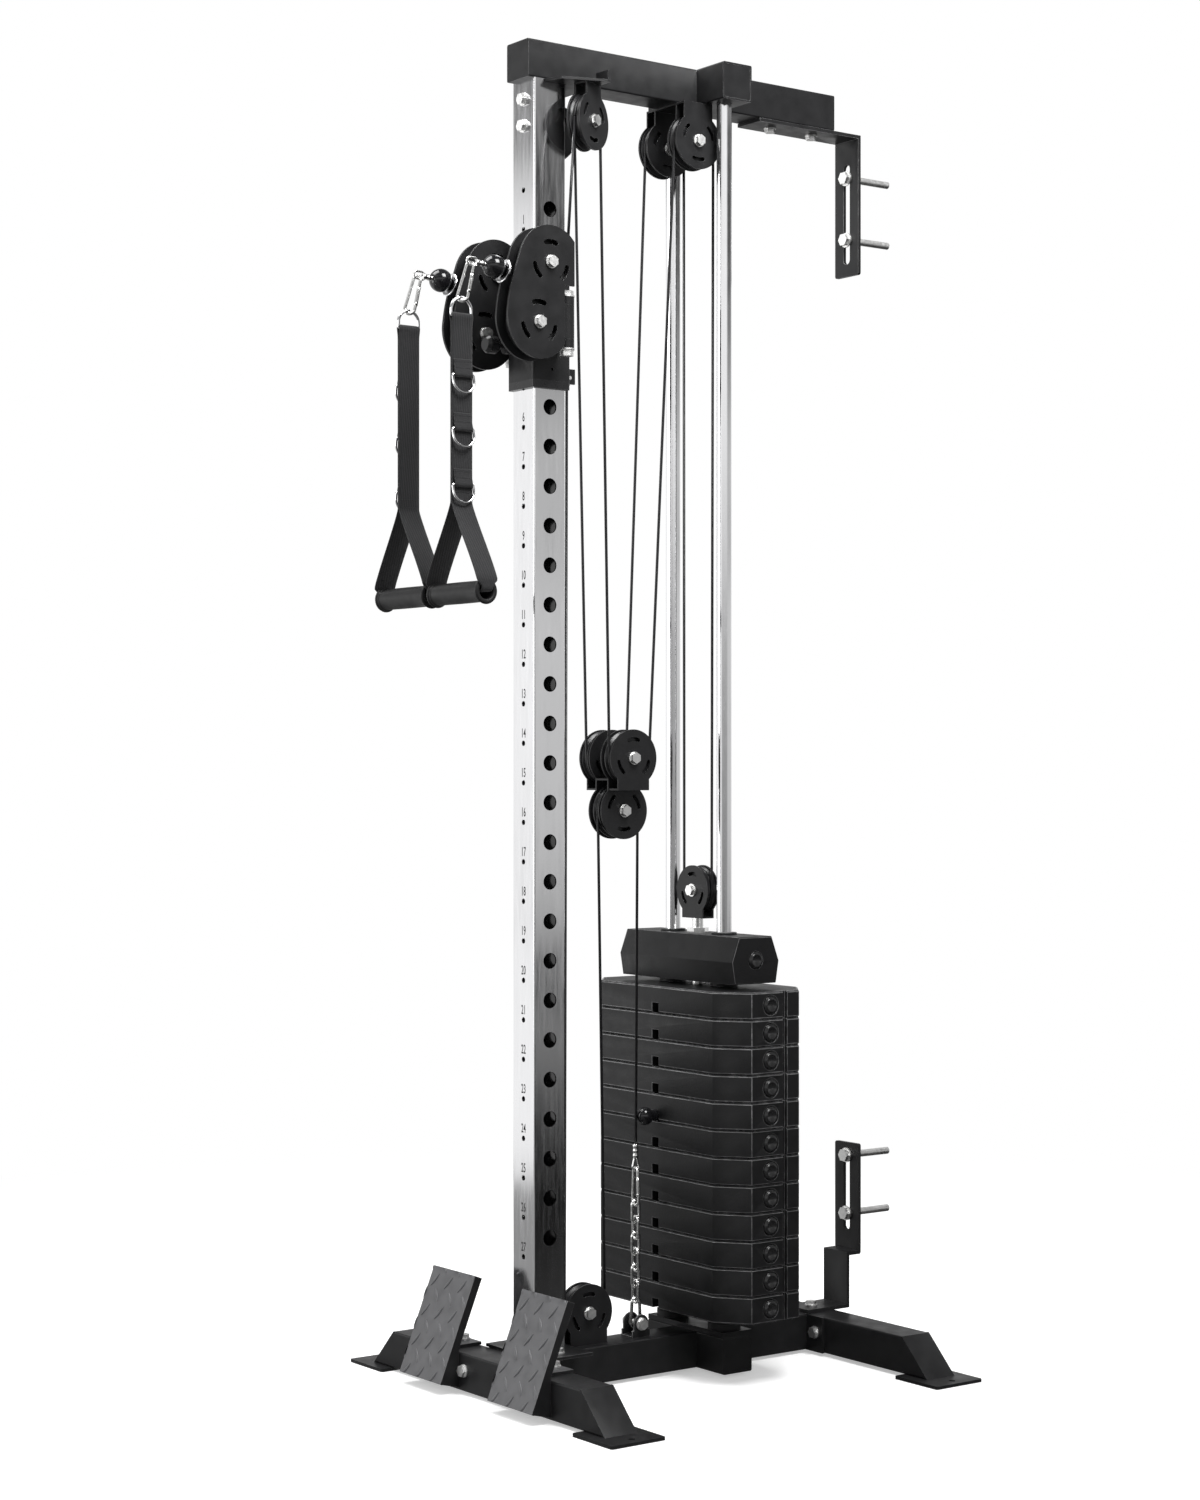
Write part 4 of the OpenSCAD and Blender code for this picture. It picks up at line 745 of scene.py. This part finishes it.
def oval(length, wide_low, wide_high):
    """Outline of a loop: a half circle of radius wide_low below, one of wide_high above, straight sides."""
    t = np.linspace(0, math.pi, 14)
    low_y, high_y = -length / 2 + wide_low, length / 2 - wide_high
    low = np.stack([-wide_low * np.cos(t), low_y - wide_low * np.sin(t)], 1)
    high = np.stack([wide_high * np.cos(t), high_y + wide_high * np.sin(t)], 1)
    rise = np.linspace(0, 1, 7)[1:-1, None]
    return np.vstack([low, low[-1] + rise * (high[0] - low[-1]), high, high[-1] + rise * (low[0] - high[-1])])


def d_outline(width, tall):
    """Outline of a D-ring: a straight bar on the x axis, rounded corners, and a half-round bow above."""
    r = width / 2
    corner = 2.5
    t = np.linspace(0, math.pi, 22)
    bow = np.stack([r * np.cos(t), tall + r * np.sin(t)], 1)
    c = np.linspace(0, math.pi / 2, 6)
    left = np.stack([-r + corner - corner * np.cos(c), corner - corner * np.sin(c)], 1)
    right = np.stack([r - corner + corner * np.sin(c), corner - corner * np.cos(c)], 1)
    bar = np.stack([np.linspace(-r + corner, r - corner, 8)[1:-1], np.zeros(6)], 1)
    return np.vstack([bow, left, bar, right])


def snap_hook(name, middle, across, up, length, wire):
    """Pear-shaped hook with a hinged gate: a thicker sleeve lies over most of one side."""
    across, up = np.asarray(across), unit(up)
    body = loop(name + "_body", oval(length, 8.0, 5.6), middle, across, up, wire)
    out = np.cross(across, up)
    start = np.asarray(middle) + 7.9 * across - 0.26 * length * up
    stop = np.asarray(middle) + 6.2 * across + 0.24 * length * up
    gate = swept(name + "_gate", straight(start, stop, 4), ring_of(wire * 0.62), out)
    rivet = [(-3.4, AXIS_R), (-3.4, 1.3), (-2.9, 1.7), (2.9, 1.7), (3.4, 1.3), (3.4, AXIS_R)]
    return joined(name, [body, gate, turned(name + "_rivet", rivet, start + 3 * up, out, 16)])


# %% [markdown]
# ## The anchor chain
# The low cable ends in a crimped ferrule and an eye. A snap hook joins it to a short chain, and a shackle
# holds the chain to the bracket on the base.

# %% Anchor chain
CRIMP = [(0, AXIS_R), (0, 3.9), (0.8, 4.6), (5.5, 4.6), (6.4, 3.9), (8.2, 3.9), (9.1, 4.6), (13, 4.6),
         (13.9, 3.9), (15.6, 3.9), (16.5, 4.6), (21.2, 4.6), (22, 3.9), (22, AXIS_R)]
SHACKLE_WIRE, HOOK_WIRE, EYE_WIRE = 5.4, 4.8, 3.4

chain = []
link_outline = oval(PITCH + GAP + 2 * LINK_WIRE, 7, 7)
for i in range(LINKS):
    at = (0, ANCHOR_Y, CHAIN_Z + GAP / 2 + (i + 0.5) * PITCH)
    chain.append(loop(f"link_{i}", link_outline, at, Y_AXIS if i % 2 else X_AXIS, UP, LINK_WIRE))
shackle_outline = oval(43 + SHACKLE_WIRE, 9.2, 7.8)
chain.append(loop("shackle", shackle_outline, (0, ANCHOR_Y, 103), Y_AXIS, UP, SHACKLE_WIRE))
chain.append(snap_hook("chain_hook", (0, ANCHOR_Y, CHAIN_TOP + 28), X_AXIS, UP, 61, HOOK_WIRE))
chain.append(loop("cable_eye", oval(20.4, 6.2, 3.6), (0, ANCHOR_Y, FERRULE_Z - 10.5), Y_AXIS, UP, EYE_WIRE))
chain.append(turned("crimp", CRIMP, (0, ANCHOR_Y, FERRULE_Z), UP, 24))
anchor_chain = joined("anchor_chain_links", chain, zinc)
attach(anchor_chain, "root")
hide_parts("anchor_chain")
print("chain:", LINKS, "links, pitch", PITCH, "mm")

# %% [markdown]
# ## Handles
# Each cable leaves its swivel between the two pulleys and ends in a glossy stop ball with a washer, a
# crimped eye and a snap hook. A handle of folded webbing hangs from the hook: both layers run up to a
# D-ring, and part below it to hold a hollow rubber grip.

# %% Cable end, ball and hook
# (y, z) of the stop ball, the eye and the D-ring, and heights on the strap
BALL = np.array([-137.0, UPPER[1] - 15.5])
EYE = BALL + (-40, 4)
RING = np.array([-197.0, BALL[1] - 59])
GRIP_Z, FORK_Z, BAR_Z = RING[1] - 444, RING[1] - 311, RING[1] - 22.3
LEAVE_R = 42  # the cable leaves the upper pulley on a tangent to this radius
to_ball = BALL - UPPER
leave = math.atan2(to_ball[1], to_ball[0]) + math.acos(LEAVE_R / np.linalg.norm(to_ball))
EXIT = UPPER + LEAVE_R * np.array([math.cos(leave), math.sin(leave)])
BALL_R, BALL_BORE = 18.5, 3.0

ball_outline = [(BALL_R * math.sin(a), max(BALL_R * math.cos(a), BALL_BORE))
                for a in np.linspace(-1.41, 1.41, 31)]
ball_outline = [(ball_outline[0][0], AXIS_R)] + ball_outline + [(ball_outline[-1][0], AXIS_R)]
washer_outline = [(0, 2.6), (0, 18.2), (0.5, 19.0), (2.4, 19.0), (2.9, 18.2), (2.9, 2.6)]
for s, side_name in SIDES:
    exit_at, ball_at, eye_at, hook_low, hook_high = (
        np.array([SWIVEL_X * s, *p]) for p in (EXIT, BALL, EYE, RING, EYE + (-2.5, -1.7)))
    pull = unit(ball_at - exit_at)
    cable(f"pull_cable_{side_name}", straight(exit_at, ball_at, 1.5),
          f"swivel_{side_name}", f"handle_{side_name}", exit_at, ball_at - 20 * pull)
    ball = turned(f"stop_ball_{side_name}", ball_outline, ball_at, pull)
    ball.data.materials.append(gloss_ball)
    washer = turned(f"ball_washer_{side_name}", washer_outline, ball_at - 19.6 * pull, pull)
    washer.data.materials.append(chrome_rod)
    along = unit(eye_at - ball_at)
    hook_line = unit(hook_high - hook_low)
    hook_at, hook_long = (hook_low + hook_high) / 2, np.linalg.norm(hook_high - hook_low) - 1
    # The hook's flat side is turned half way from the eye's to the D-ring's
    hook_across = (X_AXIS + np.cross(hook_line, X_AXIS)) / math.sqrt(2)
    metal = [turned("crimp", CRIMP, ball_at + 12 * along, along, 24),
             loop("eye", oval(16.4 + EYE_WIRE, 6.2, 5.6), eye_at, -UP, along, EYE_WIRE),
             snap_hook("hook", hook_at, hook_across, hook_line, hook_long, HOOK_WIRE)]
    hardware = joined(f"hook_and_eye_{side_name}", metal, zinc)
    for part, slot_name in ((ball, "pulley_plastic"), (washer, "chromed_steel"), (hardware, "zinc_steel")):
        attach(part, f"handle_{side_name}")
    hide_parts(f"handle_link_{side_name}")
print("stop balls at", BALL)

# %% [markdown]
# ### Webbing
# Webbing is a long, thin, rounded strip. Its weave is drawn on its own UV map, in metres along and across
# the strip, so that the ribs follow it round every fold. The stitches are real, small raised threads.

# %% Webbing finish
# Black polyester: ribs across the strip every 1.1 mm, cut by a finer twill, both as bump and shade
webbing = bpy.data.materials.new("black_webbing")
webbing.use_nodes = True
add, link = new_nodes(webbing.node_tree)
body = add("ShaderNodeBsdfPrincipled", {"Sheen Weight": 0.25, "Sheen Roughness": 0.5,
                                        "Specular IOR Level": 0.25}, Roughness=0.75)
strip = add("ShaderNodeUVMap", uv_map="UVMap")
ribs = add("ShaderNodeTexWave", wave_type="BANDS", bands_direction="Y", Scale=290.0, Distortion=0.6)
link(strip, "UV", ribs, "Vector")
slope = add("ShaderNodeMapping", Rotation=(0, 0, 0.9))
link(strip, "UV", slope, "Vector")
twill = add("ShaderNodeTexWave", wave_type="BANDS", bands_direction="X", Scale=360.0)
link(slope, "Vector", twill, "Vector")
weave = add("ShaderNodeMath", operation="MULTIPLY")
link(ribs, "Fac", weave, 0)
link(twill, "Fac", weave, 1)
shade = add("ShaderNodeValToRGB")
shade.color_ramp.elements[0].color = (0.008, 0.008, 0.009, 1)
shade.color_ramp.elements[1].color = (0.03, 0.03, 0.032, 1)
link(weave, "Value", shade, "Fac")
link(shade, "Color", body, "Base Color")
raised = add("ShaderNodeBump", Strength=0.7, Distance=0.0005)
link(weave, "Value", raised, "Height")
link(raised, "Normal", body, "Normal")
link(body, "BSDF", add("ShaderNodeOutputMaterial"), "Surface")
thread = finish("black_thread", (0.03, 0.03, 0.032), 0.6, 0.05, 300, specular=0.3)
print("made", webbing.name, "and", thread.name)

# %% [markdown]
# ### Strap
# One flat band makes the whole handle: through the grip, up two legs, together at the fork, and over the
# bar of a D-ring. A few corners, rounded, give its path, and the swept outline narrows where the band is
# folded inside the grip. Three tabs hold smaller rings.

# %% Helpers for the strap
STRAP_W, STRAP_T, FOLDED_W = 38.0, 2.3, 20
GRIP_HALF = 69.0
STITCH_PITCH, STITCH = 4.2, 2.9


def strip_outline(width, thick):
    """Rounded rectangle: flat faces and half-round edges, slightly fuller near the edges like a selvedge."""
    t = np.linspace(-math.pi / 2, math.pi / 2, 6)
    r = thick / 2
    right = np.stack([width / 2 - r + r * np.cos(t), r * np.sin(t)], 1)
    left = np.stack([-width / 2 + r - r * np.cos(t), -r * np.sin(t)], 1)
    flat = np.linspace(1, -1, 7)[1:-1]
    top = np.stack([flat * (width / 2 - r), np.full(5, r * 0.94)], 1)
    low = np.stack([-flat * (width / 2 - r), np.full(5, -r * 0.94)], 1)
    return np.vstack([right, top, left, low])


def resampled(path, step, closed):
    """Points evenly spaced by arc length along a polyline."""
    path = np.vstack([path, path[:1]]) if closed else path
    run = np.concatenate([[0], np.cumsum(np.linalg.norm(np.diff(path, axis=0), axis=1))])
    count = int(run[-1] / step)
    at = np.linspace(0, run[-1], count, endpoint=not closed)
    return np.stack([np.interp(at, run, path[:, k]) for k in range(3)], 1)


def stitch_row(a, b, out):
    """Row of thread: short arched capsules from a to b, raised along out."""
    a, b, out = np.asarray(a, float), np.asarray(b, float), np.asarray(out, float)
    way = unit(b - a)
    t = np.linspace(-1, 1, 5)[:, None]
    arch = way * t * STITCH / 2 + out * (0.25 - 0.45 * t ** 2)
    count = int(np.linalg.norm(b - a) / STITCH_PITCH)
    return [swept("stitch", a + way * (k + 0.5) * STITCH_PITCH + arch, ring_of(0.42, 6), np.cross(way, out))
            for k in range(count)]


def strap_path(x, y):
    """Middle line of the webbing: up the right half from the grip to the D-ring's bar, and down the left."""
    leg = GRIP_HALF + 0.5 + STRAP_T / 2
    half = [(0, GRIP_Z), (leg * 0.9, GRIP_Z), (leg, GRIP_Z + 1), (leg, GRIP_Z + 8), (leg, GRIP_Z + 22.5),
            (1.4, FORK_Z - 1), (1.25, FORK_Z + 12), (1.25, BAR_Z - 24), (1.5, BAR_Z - 12), (3.9, BAR_Z - 2),
            (3.9, BAR_Z + 1.8), (1.8, BAR_Z + 3.9), (0, BAR_Z + 3.9)]
    flat = np.array(half + [(-px, pz) for px, pz in half[-2:0:-1]])
    path = np.stack([x + flat[:, 0], np.full(len(flat), y), flat[:, 1]], 1)
    return resampled(softened(path, 3, closed=True), 4.0, True)


def strap_outlines(path):
    """The band's outline at each point: its width goes from FOLDED_W in the grip to STRAP_W above it by
    3t^2 - 2t^3, where t runs from 0 to 1 between 6 and 18 mm above the grip's middle."""
    t = np.clip((path[:, 2] - GRIP_Z - 6) / 12, 0, 1)
    wide = FOLDED_W + (STRAP_W - FOLDED_W) * t * t * (3 - 2 * t)
    return strip_outline(STRAP_W, STRAP_T) * np.stack([wide / STRAP_W, np.ones(len(path))], 1)[:, None]


# %% Strap with its rings
TABS = (90, 172, 257)  # how far the side rings hang below the top one
TILT = math.radians(10)
TAB_FOLD = np.array([(3.6, 24), (4.2, 14), (7.2, 3.4), (8.1, 0), (7.2, -2.6), (5.4, -3.4), (3.6, -3.0)])
for s, side_name in SIDES:
    x, y = SWIVEL_X * s, RING[0]
    path = strap_path(x, y)
    bands = [swept(f"strap_webbing_{side_name}", path, strap_outlines(path), Y_AXIS, closed=True)]
    rings = [loop("top_ring", d_outline(36.6, 9.3), (x, y, BAR_Z), Y_AXIS, UP, 5)]
    threads = []
    for z in (BAR_Z - drop for drop in TABS):
        down = np.array([s * math.sin(TILT), 0, -math.cos(TILT)])
        rings.append(loop("side_ring", d_outline(37.6, 9.3), (x + s * 4.9, y, z), Y_AXIS, down, 4))
        fold = np.array([(x + s * px, y, z + pz) for px, pz in TAB_FOLD])
        fold = resampled(softened(fold, 2), 1.6, False)
        bands.append(swept("tab", fold, strip_outline(STRAP_W - 5.5, 1.7), Y_AXIS))
        for up_by, off in ((10, 6.3), (20, 4.6)):
            at = np.array([x + s * off, y, z + up_by])
            threads += stitch_row(at - 15 * Y_AXIS, at + 15 * Y_AXIS, (s, 0, 0))
    for z in (FORK_Z + 8, FORK_Z + 20):
        for face in (-1, 1):
            at = np.array([x + face * 2.45, y, z])
            threads += stitch_row(at - 16 * Y_AXIS, at + 16 * Y_AXIS, (face, 0, 0))
    cloth = joined(f"handle_webbing_{side_name}", bands, webbing)
    metal = joined(f"strap_rings_{side_name}", rings, chrome_rod)
    sewn = joined(f"strap_stitches_{side_name}", threads, thread)
    for part, slot_name in ((cloth, "webbing"), (metal, "zinc_steel"), (sewn, "webbing")):
        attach(part, f"strap_{side_name}")
    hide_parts(f"handle_strap_{side_name}")
    print(side_name, "strap:", len(rings), "rings,", len(threads), "stitches")

# %% [markdown]
# ## Plate plugs
# Each weight plate is filled through a hole in either side and closed with a round plug. The plug's face
# stands a little proud and its edge is rounded, which is what shows as a bright crescent.

# %% Filler plugs
PLUG_FACE = [(-1.5, 14.0), (0.3, 14.0), (0.7, 13.6), (0.5, 12.8), (0.9, 12.4), (2.4, 11.8), (3.3, 10.9),
             (3.6, 9.8), (3.5, 8.8), (2.7, 8.2), (2.7, AXIS_R)]
PLATE_PITCH, PLATE_THICK, STACK_BOTTOM = 44.0, 43.4, 105.0
PLATE_HALF, PLUG_Y, HEAD_HALF, HEAD_Z = 200.0, 311.0, 150.0, 679.0
PICKED, PLATES = 5, 12

plate_z = [STACK_BOTTOM + k * PLATE_PITCH + PLATE_THICK / 2 for k in range(PLATES)]
spots = {"resting_plates": [(PLATE_HALF, PLUG_Y, z) for z in plate_z[:PLATES - PICKED]],
         "picked_plates": [(PLATE_HALF, PLUG_Y, z) for z in plate_z[PLATES - PICKED:]],
         "head_plate": [(HEAD_HALF, ROD_Y, HEAD_Z)]}
for name, places in spots.items():
    plugs = [turned("plug", PLUG_FACE, (s * half, y, z), (s, 0, 0), 40)
             for half, y, z in places for s in (-1, 1)]
    made = joined(f"{name}_plugs", plugs, plug_cap)
    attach(made, body_of(nodes[name])[0])
    print(f"{name}:", len(plugs), "plugs")

# %% [markdown]
# ## Grip
# A moulded rubber tube turns round the webbing inside it. It has a flange at each end and is a little
# thicker in the middle, so its outline is drawn once as a profile and turned about the tube's axis.

# %% Rubber grip
grip_outline = [(-69, 13.2), (-69, 17.5), (-68.2, 19.4), (-66.4, 20), (-64.6, 19.4), (-64.0, 18.2),
                (-63.2, 17.8), (-62.2, 18.4), (-61, 18.2), (-60, 17.0), (-58, 16.4), (-30, 16.6), (0, 16.7)]
grip_outline = grip_outline + [(-a, r) for a, r in grip_outline[-2::-1]]
bore = [(a, 12.6) for a in (68, 40, 0, -40, -68)]
for s, side_name in SIDES:
    middle = (SWIVEL_X * s, RING[0], GRIP_Z)
    grip = turned(f"rubber_grip_{side_name}", grip_outline + bore, middle, X_AXIS, 64)
    grip.data.materials.append(soft_rubber)
    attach(grip, f"grip_{side_name}")
    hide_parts(f"handle_grip_{side_name}")
print("grip:", 2 * GRIP_HALF, "mm long")

# %% [markdown]
# ## Tread
# The foot plates are rolled with leaning lozenges that keep a shoe from slipping. Each lozenge is a low
# dome that stands on the sheet, so that it catches the light as the rolled steel does.

# %% Raised tread
LEAN = math.radians(22)
FOOT_LONG, FOOT_WIDE, FOOT_X = 177.0, 120.0, 126
FOOT_TOP_Y, FOOT_LOW_Z = -77.5, 18.0
LEAF_LONG, LEAF_WIDE, LEAF_HIGH, MARGIN, SUNK = 14, 3.1, 1.9, 0.8, 0.3
slope = np.array([0, math.sin(LEAN), math.cos(LEAN)])
outward = np.array([0, -math.cos(LEAN), math.sin(LEAN)])


def lozenge(across, along, turn, corner):
    """Dome over a leaf outline: half width LEAF_WIDE (1 - t^2) and height LEAF_HIGH (1 - t^2)^0.5 (1 - u^2),
    where t runs along the leaf and u across it, both from -1 to 1. It ends at the sheet's margin."""
    t, u = np.meshgrid(np.linspace(-1, 1, 13), np.linspace(-1, 1, 7), indexing="ij")
    long, wide = LEAF_LONG * t, LEAF_WIDE * (1 - t ** 2) * u
    a = across + long * math.sin(turn) + wide * math.cos(turn)
    b = along + long * math.cos(turn) - wide * math.sin(turn)
    lift = LEAF_HIGH * np.sqrt(np.clip(1 - t ** 2, 0, 1)) * (1 - u ** 2)
    a, b = np.clip(a, MARGIN, FOOT_WIDE - MARGIN), np.clip(b, MARGIN, FOOT_LONG - MARGIN)
    sheet = corner + a[..., None] * X_AXIS + b[..., None] * slope
    top, under = sheet + lift[..., None] * outward, sheet - SUNK * outward
    return surface("lozenge", np.concatenate([top, under[:, ::-1]], 1))


# Rows of leaves that lean to the right and rows that lean to the left: heights, angle, places over the width
ROWS = (((7.0, 56.1, 105.5, 154.9), math.radians(33), (0.133, 0.46, 0.785)),
        ((31.5, 80.4, 130.6, 179.0), math.radians(-34), (-0.03, 0.28, 0.605, 0.93)))
leaves = []
for middle in (-FOOT_X, FOOT_X):
    corner = np.array([middle - FOOT_WIDE / 2, FOOT_TOP_Y - FOOT_LONG * math.sin(LEAN), FOOT_LOW_Z])
    for heights, turn, places in ROWS:
        leaves += [lozenge(a * FOOT_WIDE, along, turn, corner) for along in heights for a in places]
tread = joined("tread_lozenges", leaves, tread_steel)
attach(tread, "root")
print("lozenges:", len(leaves))

# %% [markdown]
# ## Numbers
# Every lock hole has its number above it, printed in black from 1 at the top to 27. Blender's own text
# makes the digits, and as a mesh they stand off the steel by no more than paint does.

# %% Hole numbers
HOLES, HOLE_PITCH, LOWEST_HOLE, NUMBER_UP = 27, 62.4, 216.9, 15.4
FACE_Y = -0.03004  # just in front of the upright's face, in metres

signs = []
for number in range(1, HOLES + 1):
    letters = bpy.data.curves.new(f"number_{number}", "FONT")
    letters.body = str(number)
    letters.size = 0.0205
    letters.align_x, letters.align_y = "CENTER", "CENTER"
    letters.offset = 0.00022
    letters.extrude = 0.00004
    letters.resolution_u = 2
    sign = added(f"number_{number}", letters)
    sign.rotation_euler = (math.radians(90), 0, 0)
    sign.scale = (0.62, 1, 1)
    sign.location = (0, FACE_Y - SHIFT_Y, (LOWEST_HOLE + (HOLES - number) * HOLE_PITCH + NUMBER_UP) * MM)
    signs.append(sign)
bpy.context.view_layer.update()
digits = []
for sign in signs:
    flat = bpy.data.meshes.new_from_object(sign.evaluated_get(bpy.context.evaluated_depsgraph_get()))
    flat.transform(sign.matrix_world)
    digits.append(added("digit", flat))
    bpy.data.objects.remove(sign)
numbers = joined("hole_numbers", digits, ink)
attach(numbers, "root")
print("numbers:", len(digits))
